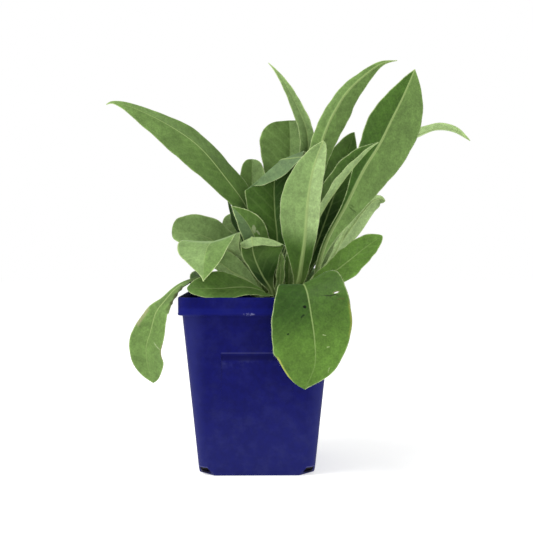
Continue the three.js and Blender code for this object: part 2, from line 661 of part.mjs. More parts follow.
addPiece('pot', makePot(), materials.pot);
addPiece('potting_soil', makeSoil(), materials.soil);
let seats = null;
for (const [name, place] of Object.entries(shoots)) {
  addPiece(`shoot_${name}`, shootGeometry(0).translate(place[0], place[1], 0), materials.shoot);
  const seat = toSolid(shootGeometry(seatGap).translate(place[0], place[1], 0));
  seats = seats ? seats.add(seat) : seat;
}
for (const leaf of leaves) {
  addPiece(leaf.name, makeLeaf(leaf, seats), materials.leaf);
}

export default group;
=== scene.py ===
import math
import random

import bmesh
import bpy
import numpy as np
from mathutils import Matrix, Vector, noise


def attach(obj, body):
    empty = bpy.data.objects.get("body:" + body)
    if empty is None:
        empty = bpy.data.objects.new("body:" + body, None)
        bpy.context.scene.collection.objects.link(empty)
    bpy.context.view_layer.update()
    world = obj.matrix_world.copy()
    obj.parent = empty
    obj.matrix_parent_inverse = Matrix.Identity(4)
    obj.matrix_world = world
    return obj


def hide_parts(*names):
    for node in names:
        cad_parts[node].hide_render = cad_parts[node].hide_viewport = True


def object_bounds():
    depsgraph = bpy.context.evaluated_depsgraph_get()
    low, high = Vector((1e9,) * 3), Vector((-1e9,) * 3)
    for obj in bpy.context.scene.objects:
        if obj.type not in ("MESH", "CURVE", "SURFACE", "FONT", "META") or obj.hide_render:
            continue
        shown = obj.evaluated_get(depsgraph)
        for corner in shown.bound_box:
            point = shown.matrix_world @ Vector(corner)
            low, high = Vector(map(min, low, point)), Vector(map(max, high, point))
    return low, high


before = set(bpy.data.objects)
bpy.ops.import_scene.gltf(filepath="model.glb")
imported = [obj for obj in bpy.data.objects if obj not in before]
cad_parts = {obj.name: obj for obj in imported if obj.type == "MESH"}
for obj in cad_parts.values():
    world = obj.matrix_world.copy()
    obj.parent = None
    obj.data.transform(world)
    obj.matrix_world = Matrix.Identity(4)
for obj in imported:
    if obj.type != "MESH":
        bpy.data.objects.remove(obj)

# A young cornflower plant in its square nursery pot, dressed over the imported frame.
# Sizes below are millimetres, x to the right, y away from the front, z up.

mm = 0.001
cadBox = [list(corner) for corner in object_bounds()]
scene = bpy.context.scene

cameraLook = {
    "place": (0.0, -621.0, 156.5),
    "focalPixels": 829.0, "frameSize": 533,
    "sensor": 36.0, "clipStart": 10.0,
    "levelPoint": (257.0, 253.0),    # where level lines that run straight back meet, in photo pixels
}


def makeCamera(look):
    size, focal = look["frameSize"], look["focalPixels"]
    data = bpy.data.cameras.new("camera")
    data.sensor_width = look["sensor"]
    data.lens = focal / size * look["sensor"]
    data.clip_start = look["clipStart"] * mm
    camera = bpy.data.objects.new("camera", data)
    camera.location = Vector(look["place"]) * mm
    aside, down = ((size / 2 - pixel) / focal for pixel in look["levelPoint"])
    camera.rotation_mode = "QUATERNION"
    camera.rotation_quaternion = Vector((aside, 1.0, -down)).to_track_quat("-Z", "Y")
    scene.collection.objects.link(camera)
    scene.camera = camera


makeCamera(cameraLook)
print("camera set")


# Shader nodes written as expressions

class Wire:    # one socket of a shader tree
    def __init__(self, tree, socket=None):
        self.tree = tree
        self.socket = socket

    def make(self, kind, settings, values, out=0):    # any node: settings first, then its sockets
        node = self.tree.nodes.new(kind)
        for name, value in settings.items():
            setattr(node, name, value)
        for name, value in values.items():
            if isinstance(value, Wire):
                self.tree.links.new(value.socket, node.inputs[name])
            else:
                node.inputs[name].default_value = value
        return Wire(self.tree, node.outputs[out])

    def math(self, operation, *values):
        return self.make("ShaderNodeMath", {"operation": operation}, dict(enumerate(values)))

    def __add__(self, other):
        return self.math("ADD", self, other)

    __radd__ = __add__

    def __sub__(self, other):
        return self.math("SUBTRACT", self, other)

    def __rsub__(self, other):
        return self.math("SUBTRACT", other, self)

    def __mul__(self, other):
        return self.math("MULTIPLY", self, other)

    __rmul__ = __mul__

    def __truediv__(self, other):
        return self.math("DIVIDE", self, other)

    def __abs__(self):
        return self.math("ABSOLUTE", self)

    def lower(self, other):    # the smaller of two numbers
        return self.math("MINIMUM", self, other)

    def fraction(self):
        return self.math("FRACT", self)

    def rise(self, low, high):    # 0 below low, 1 above high, smooth between
        values = {0: self, 1: low, 2: high, 3: 0.0, 4: 1.0}
        return self.make("ShaderNodeMapRange", {"interpolation_type": "SMOOTHSTEP"}, values)

    def blend(self, under, over):    # a colour: under where this is 0, over where it is 1
        settings = {"data_type": "RGBA", "clamp_factor": True}
        return self.make("ShaderNodeMix", settings, {0: self, 6: under, 7: over}, out=2)

    def mixed(self, under, over):    # the same for numbers
        return under + self * (over - under)

    def shade(self, factor):    # a colour or vector times a number
        return self.make("ShaderNodeVectorMath", {"operation": "SCALE"}, {"Vector": self, "Scale": factor})

    def uneven(self, mask, share):    # a colour darker where the mask is low and lighter where it is high
        return mask.rise(0.3, 0.7).blend(self.shade(1 - share), self.shade(1 + share))

    def noise(self, scale, detail=2.0, roughness=0.5):    # 0 to 1 over this vector
        values = {"Vector": self, "Scale": scale, "Detail": detail, "Roughness": roughness}
        return self.make("ShaderNodeTexNoise", {}, values)

    def net(self, scale):    # distance from the walls of a net of cells
        settings = {"feature": "DISTANCE_TO_EDGE"}
        return self.make("ShaderNodeTexVoronoi", settings, {"Vector": self, "Scale": scale}, out="Distance")

    def vector(self, operation, *values, out="Vector"):
        values = dict(enumerate((self, *values)))
        return self.make("ShaderNodeVectorMath", {"operation": operation}, values, out)

    def parts(self):
        split = self.make("ShaderNodeSeparateXYZ", {}, {0: self}).socket.node
        return [Wire(self.tree, socket) for socket in split.outputs]


def newMaterial(name):
    material = bpy.data.materials.new(name)
    material.use_nodes = True
    material.node_tree.nodes.clear()
    return material, Wire(material.node_tree)


def attribute(root, name, out="Vector"):
    return root.make("ShaderNodeAttribute", {"attribute_name": name}, {}, out)


def objectPlace(root):
    return root.make("ShaderNodeTexCoord", {}, {}, "Object")


def plainCoat(root, tone, rough, more):    # a shader with a bump where more gives strength, depth and height
    values = {"Base Color": tone, "Roughness": rough, **more}
    if "bump" in values:
        strength, depth, height = values.pop("bump")
        relief = {"Strength": strength, "Distance": depth * mm, "Height": height}
        values["Normal"] = root.make("ShaderNodeBump", {}, relief)
    return root.make("ShaderNodeBsdfPrincipled", {}, values)


def finish(root, shader, kind="Material"):
    output = root.tree.nodes.new("ShaderNodeOutput" + kind)
    root.tree.links.new(shader.socket, output.inputs["Surface"])


def linear(red, green, blue):    # a screen colour, 0 to 255, as the shader's own values
    share = [channel / 255 for channel in (red, green, blue)]
    return tuple(((c + 0.055) / 1.055) ** 2.4 if c > 0.04045 else c / 12.92 for c in share) + (1.0,)


def dress(piece, node):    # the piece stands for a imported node
    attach(piece, "root")
    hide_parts(node)


# Leaf finishes

greens = {    # screen colours, 0 to 255
    "deep": (34, 62, 18),
    "forest": (52, 84, 28),
    "leaf": (68, 100, 36),
    "meadow": (86, 118, 52),
    "grass": (92, 128, 50),
    "fresh": (108, 138, 72),
    "sage": (98, 124, 80),
    "light": (126, 154, 92),
    "frost": (124, 148, 104),
    "pale": (146, 172, 112),
    "lime": (168, 196, 130),
}

leafFinish = {
    "rib": (158, 180, 112),
    "stalk": (140, 164, 92), "stalkStrength": 0.55, "stalkEnd": (0.03, 0.26),    # along the leaf
    "vein": (150, 176, 106), "veinStrength": 0.09,
    # rim: the pale hairy margin, partly a painted highlight along the edge
    "rim": (184, 202, 140), "rimWide": (0.2, 0.9),
    "ribHalf": ((0.8, 0.3), (1.7, 0.5)),    # half the pale midrib's width above and below, base to tip
    "ribStrength": (0.55, 0.6),    # above and below
    "ribEnd": (0.62, 0.95),        # where it fades above
    "veinSpacing": 8.5,            # along the midrib
    "veinSlant": 1.2,              # how far a side vein runs towards the tip for each mm outwards
    "veinBow": 0.012, "veinWide": (0.02, 0.16), "veinMargin": (0.5, 4.5),
    "patches": 75.0, "mottles": 240.0, "grains": 700.0, "cells": 400.0,    # to a metre
    "patchShare": (0.86, 1.12), "mottleShare": 0.13, "netShare": 0.3, "netLight": 0.8,
    # painted sheen: a lighter band along each leaf's margin, as a hairy blade looks at grazing angles
    "paintedSheenWide": 4.0, "paintedSheenLight": 1.12,
    "through": (0.30, 0.46, 0.07, 1.0), "throughShare": 0.12,
    "gloss": 0.16, "felt": 0.12, "feltRough": 0.3, "roughness": 0.5,
    "ragged": 2.0,                 # how far a mark's outline wanders
    "markSoft": (0.45, 1.2), "holeSoft": (0.6, 0.7),    # where a mark's outline starts and ends
    "bump": (0.5, 0.5),            # strength and depth
    "hair": (206, 216, 184),
}


def markMask(reach, run, mark, soft):    # a rounded spot or streak on the blade, 1 inside
    turn = math.radians(mark["turn"])
    x, y = reach - mark["at"][0], run - mark["at"][1]
    along = (x * math.sin(turn) + y * math.cos(turn)) / mark["long"]
    across = (x * math.cos(turn) - y * math.sin(turn)) / mark["wide"]
    return 1 - (along * along + across * across).rise(*soft)


# split tones let one half, or the base, carry painted shade
def sideTone(names, right, far):    # one green, or left and right, or left, right and the same at the tip
    tones = [linear(*greens[name]) for name in names.split()]
    if len(tones) == 1:
        return tones[0]
    near = right.blend(tones[0], tones[1])
    return far.blend(near, right.blend(tones[2], tones[3])) if len(tones) == 4 else near


def leafMaterial(name, leaf):
    material, root = newMaterial(name)
    look = leafFinish
    reach, run, inset = attribute(root, "blade").parts()
    across, along, body = attribute(root, "place").parts()
    side = attribute(root, "side", "Fac")
    where = objectPlace(root)
    patch = where.noise(look["patches"], 3.0)
    mottle = where.noise(look["mottles"], 4.0, 0.65)
    grain = where.noise(look["grains"], 2.0, 0.6)
    away = abs(reach)
    slanted = run - away * look["veinSlant"] + away * away * look["veinBow"]
    row = (slanted / look["veinSpacing"] + patch * 0.5).fraction()
    vein = (1 - abs(row - 0.5).rise(*look["veinWide"])) * inset.rise(*look["veinMargin"])
    vein = vein * body.rise(0.1, 0.5)
    net = 1 - where.net(look["cells"]).rise(0.0, 0.1)
    above, below = look["ribHalf"]
    half = side.mixed(*(base + along * (tip - base) for base, tip in (below, above)))
    strength = leaf["ribs"] or look["ribStrength"]
    rib = (1 - away.rise(half * 0.5, half * 1.3)) * side.mixed(strength[1], strength[0])
    rib = rib * (1 - along.rise(*look["ribEnd"]) * side * 0.7)
    # the pale margin, partly real hairs and partly a painted edge highlight
    rim = (1 - inset.rise(*look["rimWide"])) * (0.25 + mottle.rise(0.3, 0.6) * 0.5) * leaf["rim"]
    stalk = 1 - along.rise(*look["stalkEnd"])
    right = across.rise(-0.04, 0.04)
    far = along.rise(*leaf["fade"])
    tone = side.blend(sideTone(leaf["under"], right, far), sideTone(leaf["upper"], right, far))
    dark, light = look["patchShare"]
    tone = patch.rise(0.3, 0.72).blend(tone.shade(dark), tone.shade(light))
    tone = tone.uneven(mottle, look["mottleShare"]).uneven(grain, look["mottleShare"])
    tone = (net * look["netShare"]).blend(tone, tone.shade(look["netLight"]))
    tone = (vein * (look["veinStrength"] * leaf["veins"])).blend(tone, linear(*look["vein"]))
    tone = (stalk * look["stalkStrength"]).blend(tone, linear(*look["stalk"]))
    tone = rib.blend(tone, linear(*look["rib"]))
    tone = rim.blend(tone, linear(*look["rim"]))
    # painted sheen: the blade lighter towards its margin
    tone = (1 - inset.rise(0.0, look["paintedSheenWide"])).blend(tone, tone.shade(look["paintedSheenLight"]))
    kept = None
    roam = (grain - 0.5) * look["ragged"]
    for mark in leaf["marks"]:
        soft = mark.get("soft", look["markSoft"])
        mask = markMask(reach + roam, run + (mottle - 0.5) * look["ragged"], mark, soft)
        if "margin" in mark:
            mask = mask * (1 - (inset + roam).rise(mark["margin"] * 0.4, mark["margin"]))
        tone = (mask * mark["strength"]).blend(tone, linear(*mark["colour"]))
        if "hole" in mark:
            kept = 1 - markMask(reach, run, mark, look["holeSoft"])
    height = grain * 0.3 + mottle * 0.5 + patch * 0.4 - net * 0.25 + vein * (0.1 - side * 0.2)
    more = {
        "bump": (*look["bump"], height), "Specular IOR Level": look["gloss"],
        "Sheen Weight": look["felt"], "Sheen Roughness": look["feltRough"],
    }
    share = look["throughShare"]
    if kept:
        more["Alpha"] = kept
        share = kept * share
    flesh = plainCoat(root, tone, look["roughness"] + grain * 0.16, more)
    through = root.make("ShaderNodeBsdfTranslucent", {}, {"Color": look["through"]})
    finish(root, root.make("ShaderNodeMixShader", {}, {0: share, 1: flesh, 2: through}))
    return material


def hairMaterial():
    material, root = newMaterial("leaf_hair")
    finish(root, plainCoat(root, linear(*leafFinish["hair"]), 0.7, {"Sheen Weight": 0.3}))
    return material


# Leaf shapes: the solids' own surfaces, drawn finer

def mark(at, wide, long, turn, colour, strength, **more):    # at across and along the blade, half sizes
    return dict(at=at, wide=wide, long=long, turn=turn, colour=colour, strength=strength, **more)


# One row for each leaf, with leafDefaults for what it leaves out. midrib runs from base to tip, and faces
# says where the upper side looks, spread along it. width, broadest, foot, point, fold and curl are one
# value or (left, right): the blade's width, where it is broadest, how its base and tip narrow, how steeply
# a half rises from the midrib and how much further it bends on its way out, in degrees. wave is height,
# number and phase; upper and under are greens, as sideTone reads them.

# Darker greens on one half of a leaf, or towards its base, are partly painted shade.
leafPieces = {
    "upper_left": dict(
        midrib=((7.5, -3.5, 127), (6, -2, 140), (1, -2, 165), (-7.5, -3, 190), (-23.5, -8, 212.5),
            (-42, -12, 234), (-61, -16, 247.5), (-84, -20, 259), (-97, -22, 263.5), (-104, -23, 264.5),
            (-108, -24, 263)),
        faces=((0.8, -0.2, 0.3), (0.6, -0.6, 0.5), (0.35, -0.65, 0.65), (0.3, -0.65, 0.7)), width=(46, 37),
        stalk=0.16, broadest=(0.62, 0.45), foot=(1.8, 2), point=(1.5, 1.1),
        fold=((5, -10, -10), (10, -15, -15)), wave=(0.8, 3, 0), upper="meadow meadow fresh fresh",
        ribs=(1.1, 0.6), veins=0.8,
    ),
    "top_narrow": dict(
        midrib=((25, 9, 126), (29, 11, 150), (35, 13, 190), (38, 14, 225), (39, 15, 241), (37, 16, 254),
            (30, 18, 271), (25, 20, 281), (19.5, 23, 291), (14, 26, 299), (9, 29, 305)),
        faces=((0.2, -1, 0.1), (0.3, -0.95, 0.1)), width=(15, 10), broadest=0.55, point=1.4, fold=15,
        upper="light", under="fresh",
    ),
    "top_arched": dict(
        midrib=((28, -5, 126), (33, -3, 150), (38, -1, 180), (43, 0, 212), (48.5, 1, 239), (54, 4, 254),
            (60, 6, 265.5), (68, 9, 278), (81, 13, 291), (96, 17, 302), (108, 20, 305)),
        faces=((-0.5, 0.8, 0.2), (-0.35, 0.85, 0.25), (-0.35, 0.85, 0.35)), width=(28, 16),
        broadest=(0.66, 0.55), foot=(3, 1.5), point=(2.2, 1.3), fold=(0, (10, 25, 40, 40)),
        curl=(10, (15, 25, 30)), under="fresh",
    ),
    "tall_right": dict(
        midrib=((34.3, -10, 122.5), (42, -9, 134), (46, -8, 150), (52, -7, 167), (66, -4, 192),
            (80, 0, 219), (92, 2, 238), (101, 3, 256), (110, 4, 274), (119, 5, 295)),
        faces=((-0.7, 0.5, 0.4), (-0.3, 0.9, 0.15), (-0.3, 0.9, 0.15)), width=(56, 32), stalk=0.14,
        broadest=(0.75, 0.72), foot=(2.2, 9), point=(1, 1.05), fold=(3, 25),
        # the darker green on one half is painted shade on the half turned from the light
        under="fresh forest fresh leaf", ribs=(0.5, 0.75), veins=0.4,
        marks=(
            mark((-7.5, 77.6), 4.6, 0.7, 0, (64, 84, 40), 0.7),
            mark((-5.5, 79.6), 2.2, 0.7, 0, (70, 92, 44), 0.6),
        ),
    ),
    "far_right": dict(
        midrib=((34, 12, 124), (43, 18, 137), (54, 23, 152), (63, 28, 168), (74, 31, 190), (94, 32, 220),
            (116, 31, 243), (131, 30, 251), (142, 28, 254), (155, 26, 252), (166, 24, 244)),
        faces=((-0.8, 0.4, 0.4), (-0.6, 0.5, 0.6), (-0.3, 0.4, 0.9), (0, 0.3, 1)), width=19, stalk=0.25,
        foot=1.5, point=0.85, fold=8, upper="fresh", under="lime",
    ),
    "round_back": dict(
        midrib=((13, 12.5, 126.5), (17, 20, 150), (21, 26, 185), (25, 29, 220), (26, 31, 245),
            (25, 31, 260.5)),
        faces=((0, -1, 0.2), (0, -1, 0.25), (0, -1, 0.3)), width=(48, 42), stalk=0.3, broadest=(0.86, 0.8),
        foot=(2.7, 2), point=(0.3, 0.4), fold=8, upper="fresh light", veins=2.2,
    ),
    "small_back": dict(
        midrib=((9.5, 10, 127.5), (4, 13, 150), (-3, 18, 182), (-4, 20, 210), (-4, 20.5, 229)),
        faces=(0.2, -1, 0.2), width=23, stalk=0.3, broadest=0.74, foot=1.6, point=0.4, fold=18,
        wave=(1.2, 2.5, 1), upper="fresh light",
    ),
    "folded_standing": dict(
        midrib=((12, -7, 126), (15, -8, 145), (15, -8, 166), (13, -8, 190), (13, -8, 210), (17, -8, 229),
            (21.5, -8, 243)),
        faces=(0, -1, 0.2), width=(44, 45), stalk=0.22, broadest=(0.66, 0.8), foot=(1.1, 2.2),
        # its darker greens are partly painted shade under its folded-over tip
        point=(0.9, 0.5), upper="leaf forest",
        crease=dict(at=(12, -8, 216), along=(0.84, 0, 0.54), over=(0, -1, 0), radius=4, angle=135, bow=0),
    ),
    "front_pale": dict(
        midrib=((26.5, -12.5, 124.5), (30, -21, 136), (32, -26, 150), (34, -30, 166), (36, -33, 194),
            (39, -34, 213), (43, -34, 226), (47, -33, 236)),
        faces=((0, 0.9, 0.3), (0, 1, 0.1), (0, 1, 0.1)), width=(20, 40), stalk=0.14, broadest=(0.6, 0.52),
        # the darker green towards the base is painted shade low in the crown
        foot=(0.8, 1.8), point=(0.5, 1), curl=20, under="leaf leaf lime light", fade=(0.32, 0.5),
        ribs=(0.5, 0.7), veins=0.3,
    ),
    "dark_back": dict(
        midrib=((30.5, 9, 127), (38, 8, 145), (46, 9, 165), (57, 11, 195), (67, 15, 225), (75, 18, 249.5)),
        faces=(0, -1, 0.1), width=(35, 25), stalk=0.25, broadest=(0.55, 0.6), foot=(0.9, 1.2),
        # the deep green towards the base is painted shade low in the crown
        point=(0.75, 1.1), fold=(12, 5), upper="deep deep meadow leaf", fade=(0.45, 0.75),
    ),
    "keeled": dict(
        midrib=((30, -10, 126), (34, -11, 140), (38, -12, 160), (43, -12, 178), (51, -13, 193),
            (60, -15, 206), (71, -17, 220), (83, -19, 233), (88, -19, 237)),
        faces=((-0.8, -0.15, 0.6), (-0.75, -0.15, 0.6)), width=(22, 14), point=0.8, fold=(60, 42),
        upper="light light leaf leaf", under="pale",
    ),
    "right_behind": dict(
        midrib=((33, -2.6, 124.5), (45, 2.3, 138), (56, 6, 152), (65, 12, 166), (74, 18, 178),
            (83, 22, 189.5), (90, 24, 196.5), (96.5, 25, 199), (100, 25, 197)),
        faces=((-0.5, 0.7, 0.4), (-0.2, 0.95, 0.1)), width=(22, 17), stalk=0.25, broadest=0.62, foot=1.2,
        point=(0.5, 1), fold=8, under="pale lime",
    ),
    "right_low": dict(
        midrib=((33.6, -14, 121.4), (44.7, -20.2, 137), (56, -21, 143), (68, -21, 152), (78, -20, 160),
            (91, -20, 169)),
        faces=(-0.4, -0.75, 0.6), width=(22, 36), stalk=0.25, broadest=(0.6, 0.45), foot=1.2,
        point=(0.65, 0.75), upper="grass",
    ),
    "front_bent": dict(
        midrib=((29.5, -13.8, 120.6), (31, -28, 130), (32, -46, 135), (34, -58, 130), (36.5, -66, 114),
            (38.5, -69, 98), (38.5, -70, 82), (32, -70, 65.5)),
        faces=((0, 0.3, 1), (0, 0, 1), (0, -1, 0.5), (0, -1, 0), (0, -1, 0)), width=(57, 57), stalk=0.18,
        broadest=(0.5, 0.72), foot=(1.3, 1), point=(1.25, 0.5), fold=((20, 25, 8), (-5, -5, 5)),
        wave=(1, 2.5, 0), even=0.07, upper="leaf forest grass grass", fade=(0.5, 0.82), ribs=(0.6, 0.6),
        veins=0.3,
        marks=(
            mark((-16, 57.9), 7.5, 0.45, 15, (34, 48, 18), 0.8),
            mark((-22.8, 61.8), 3.4, 0.5, 14, (80, 80, 40), 0.6),
            mark((-20.3, 57.4), 2.9, 1, 5, (150, 152, 92), 0.6),
            mark((3.5, 60.6), 1.1, 1, 0, (6, 16, 4), 1, soft=(0.7, 1.2)),
            mark((5.9, 66.6), 0.7, 1.9, 50, (16, 34, 10), 0.9),
            mark((17.2, 77.7), 0.8, 0.7, 0, (14, 30, 8), 1),
            mark((-7, 81), 1.4, 0.35, 10, (176, 192, 136), 0.6),
            mark((-9, 88.5), 1.2, 0.35, -20, (176, 192, 136), 0.55),
            mark((-10, 101), 0.4, 1.6, 10, (176, 192, 136), 0.5),
            mark((16, 104), 12, 14, 0, (186, 196, 92), 0.8, margin=2.2),
            mark((-24, 73), 6, 11, 0, (146, 148, 66), 0.55, margin=2),
            mark((-20.3, 57.4), 2.3, 0.6, 5, (20, 24, 12), 0.9, hole=True),
        ),
    ),
    "crown_folded": dict(
        midrib=((12, -13, 124.5), (10.3, -15, 130), (4, -17.5, 140), (-1, -19, 151), (-3, -19.5, 158),
            (-3.5, -19.5, 165), (-3.5, -19.5, 173), (-3, -19.5, 179.2)),
        faces=((0.2, -0.9, 0.4), (0.1, -1, 0.3)), width=(17, 47), broadest=0.7, foot=(1.2, 1.3), point=0.35,
        # the deep green towards the base is painted shade low in the crown
        fold=(0, 10), upper="deep forest meadow meadow", under="pale", fade=(0.3, 0.6), ribs=(0.8, 0.5),
        rim=1.5,
        crease=dict(at=(3, -19.5, 165.3), along=(1, 0, 0), over=(0, -1, 0), radius=3, angle=145, bow=0.012),
    ),
    "left_bent": dict(
        midrib=((4.5, -4, 124.5), (-4, -6, 139), (-13, -11, 152), (-23, -19, 161.5), (-30, -30, 165),
            (-34.5, -39, 161), (-36.5, -46.5, 151), (-37, -51, 137)),
        faces=((0.6, 0, 0.6), (-0.3, 0, 1), (-0.4, -0.5, 1), (-0.3, -1, 0.3)), width=(44, 48),
        broadest=0.65, foot=(5, 1.5), point=(1.3, 1.8), fold=5, upper="fresh light", under="lime", rim=1.8,
        marks=(
            # a pale band across the crest where the blade bends over: painted highlight
            mark((0, 68), 26, 2.2, 3, (150, 176, 124), 0.5),
        ),
    ),
    "left_under": dict(
        midrib=((5, -12, 123.5), (-4, -21.5, 135), (-18, -25, 143), (-27, -25.5, 149.5), (-36, -24, 153)),
        faces=(0.25, -0.8, 0.55), width=(19, 23), broadest=(0.6, 0.65), foot=(1, 2.8), point=0.6,
        upper="pale light", ribs=(1, 0.6),
    ),
    "left_round": dict(
        midrib=((4, 9, 122), (-7, 12, 143), (-25, 16, 160), (-45, 16, 171), (-65, 12, 172)),
        faces=((0.3, -0.7, 0.6), (0.1, -0.8, 0.5)), width=32, stalk=0.25, broadest=0.72, foot=1.2,
        point=0.4, upper="light", under="frost",
    ),
    "left_behind": dict(
        midrib=((5, 13.5, 126.5), (-1, 21, 143), (-11, 29, 165), (-22, 31, 187)),
        faces=(0.2, -0.9, 0.3), width=26, stalk=0.25, broadest=0.7, foot=1.4, point=0.45, upper="lime",
        under="pale",
    ),
    "left_dark": dict(
        midrib=((7, 6, 126), (-2, 2, 150), (-10, 0, 168), (-16, 0, 180), (-22, 1, 196)),
        faces=(-0.8, -0.6, -0.3), width=(6, 14), stalk=0.25, foot=1.1, point=(1, 0.8), fold=15,
        # the deepest green on both sides is partly painted shade: this leaf faces down in deep shade
        upper="deep", under="deep", ribs=(0.2, 0.2), rim=0.3,
    ),
    "left_inner": dict(
        midrib=((6.5, -9, 127.5), (4, -11, 146), (0, -13, 164), (-4.5, -15.5, 174), (-10, -17, 182),
            (-18.5, -17.5, 190.5)),
        faces=(0.1, -0.85, 0.5), width=(20, 21), foot=1, point=(1.2, 1.1), fold=5, upper="sage meadow",
        under="frost", rim=1.6,
        marks=(
            mark((2, 47.5), 1.6, 3.2, 20, (178, 190, 146), 0.55),
            mark((3.6, 43.6), 0.8, 2.2, -10, (186, 198, 156), 0.55),
        ),
    ),
    "rim_low": dict(
        midrib=((8.5, -13, 121), (6.5, -27, 128), (-4, -36, 132), (-14, -39.5, 132.5), (-28, -41, 131.5),
            (-44, -41, 132), (-49, -41, 132)),
        faces=((0, -0.6, 0.8), (0, -0.82, 0.58)), width=(22, 27), broadest=(0.6, 0.66), foot=(0.8, 4.5),
        point=(0.6, 0.85), fold=6,
    ),
    "left_drooped": dict(
        midrib=((3.8, -8, 121), (-15, -17, 134), (-35, -25, 139), (-50, -30, 136), (-58, -32, 131),
            (-65, -34, 123), (-71, -36, 115), (-75, -37, 101), (-78, -38, 90), (-77, -38, 78),
            (-73, -38, 65)),
        faces=((0, -0.3, 1), (-0.2, -0.4, 0.9), (-0.5, -0.7, 0.5), (-0.4, -0.9, 0), (-0.4, -0.9, 0)),
        width=(31, 26), stalk=0.35, broadest=(0.85, 0.77), foot=(2.6, 9), point=(0.7, 1.05), fold=8,
        wave=(1.2, 3, 0), torn=(-1, 0.28, 0.62, 5), upper="fresh", under="frost", ribs=(0.75, 0.6),
        veins=0.6,
        marks=(
            mark((0, 40), 14, 28, 0, (60, 80, 34), 0.7),
            mark((-9, 66), 9, 24, 0, (58, 62, 30), 0.9, margin=5),
            mark((9, 99.5), 5, 9, -10, (172, 168, 128), 0.6, margin=3.4),
            mark((-10.5, 117.5), 0.5, 6, -58, (176, 186, 146), 0.5),
            mark((-17, 121), 5, 10, 0, (126, 116, 78), 0.7, margin=1.6),
        ),
    ),
    "young_left": dict(
        midrib=((14.8, -10.5, 124), (16.3, -13, 132), (17.2, -14.5, 142), (17.6, -15, 150),
            (17.6, -15.5, 158)),
        faces=(0, -1, 0.2), width=6, broadest=0.5, foot=1, fold=15, upper="fresh",
    ),
    "young_centre": dict(
        midrib=((23.4, -8, 125.5), (23.4, -11, 135), (23.5, -13, 147), (23.1, -14, 160)),
        faces=(0, -1, 0.2), width=8, broadest=0.5, foot=1, fold=15, upper="meadow fresh",
    ),
    "young_right": dict(
        midrib=((34.8, -5.8, 124.2), (40, -4.3, 132), (45, -3.2, 137.5), (50.6, -1.5, 143), (56.8, 0, 154),
            (62.9, 1, 165.7), (69.3, 4, 181)),
        faces=(-0.6, 0.6, 0.4), width=5.6, stalk=0.3, foot=1.2, fold=15, upper="light", under="lime",
    ),
    "back_left": dict(
        midrib=((8, 16, 124), (-1, 33, 150), (-14, 50, 168), (-24, 66, 176), (-34, 80, 174)),
        faces=((0.4, -0.6, 0.7), (0.2, -0.3, 1)), width=34, stalk=0.22, point=0.75, fold=15,
        upper="meadow fresh",
    ),
    "back_centre": dict(
        midrib=((24.5, 14.5, 126), (19, 30, 152), (14, 42, 185), (10, 52, 210), (7, 66, 221)),
        faces=((0, -1, 0.3), (0, -0.7, 0.7)), width=36, stalk=0.22, point=0.75, fold=15,
        upper="meadow leaf fresh meadow",
    ),
    "back_right": dict(
        midrib=((30, 17, 123.5), (41, 32, 150), (51, 46, 175), (60, 62, 186), (68, 78, 186)),
        faces=((-0.4, -0.6, 0.7), (-0.2, -0.3, 1)), width=36, stalk=0.22, point=0.75, fold=15,
        upper="leaf meadow",
    ),
    "back_drooped": dict(
        midrib=((26, 16, 121), (20, 34, 132), (14, 52, 136), (10, 66, 128), (8, 73, 108), (6, 76, 86)),
        faces=((0, -0.3, 1), (0, 0, 1), (0, 1, 0.5), (0, 1, 0), (0, 1, 0)), width=44, broadest=0.62,
        foot=1.1, point=0.55, fold=8, under="frost",
    ),
    "back_low_left": dict(
        midrib=((3.5, 13.5, 121), (-10, 26, 132), (-27, 38, 138), (-40, 50, 138), (-51, 62, 131)),
        faces=((0.3, -0.3, 1), (0, 0, 1)), width=30, stalk=0.25, foot=1.1, point=0.65, fold=12,
        upper="leaf meadow", under="leaf",
    ),
    "back_low_right": dict(
        midrib=((33, 15, 121), (44, 26, 133), (52, 39, 140), (59, 52, 140), (65, 65, 133)),
        faces=((-0.3, -0.3, 1), (0, 0, 1)), width=33, stalk=0.25, foot=1.1, point=0.65, fold=12,
        upper="meadow leaf",
    ),
    "back_inner": dict(
        midrib=((30, 15, 127), (36, 24, 150), (42, 32, 180), (46, 41, 200), (50, 51, 211)),
        faces=(-0.2, -1, 0.4), width=28, stalk=0.25, point=0.75, fold=15, upper="meadow fresh",
        under="frost",
    ),
}

leafDefaults = dict(    # what a leaf has where its own row says nothing
    stalk=0.2, broadest=0.6, foot=1.3, point=1, fold=10, curl=10, wave=(0.5, 3, 0), crease=None, even=0.0001,
    upper="meadow", under="sage", fade=(0.3, 0.85), marks=(), ribs=None, veins=1, rim=1, torn=None,
)

leafForm = {
    "rows": 88, "tipCrowding": 1.3,
    "columns": 30, "columnCrowding": 0.6,
    "stalkHalf": (2.8, 0.9), "edgeHalf": 0.3, "thinnest": 0.2,
    "bareStalk": 0.55,           # share of the stalk that has no blade yet
    "samples": 401,              # along the midrib, to measure it
    "blade": (0.62, 0.34),       # thickness in the middle, base to tip
    "ribDepth": (2.0, 0.3),      # how far the rib stands out below
    "ribHalf": (1.6, 0.5),
    "groove": (0.45, 0.12),      # how deep it lies sunk above
    "puff": 0.07,                # how far the blade swells between its side veins
    "edgeRipple": 0.28, "ripples": 7.3,
    "edgeTeeth": (0.35, 13.0),   # height and spacing of the margin's shallow teeth
    "edgeSwing": (0.3, 3.1),     # height and number of its slower swings
    "hairs": 260, "hairLength": (0.35, 0.95), "hairHalf": 0.028,
    "hairRoot": 0.1,             # how far inside the margin a hair starts
}


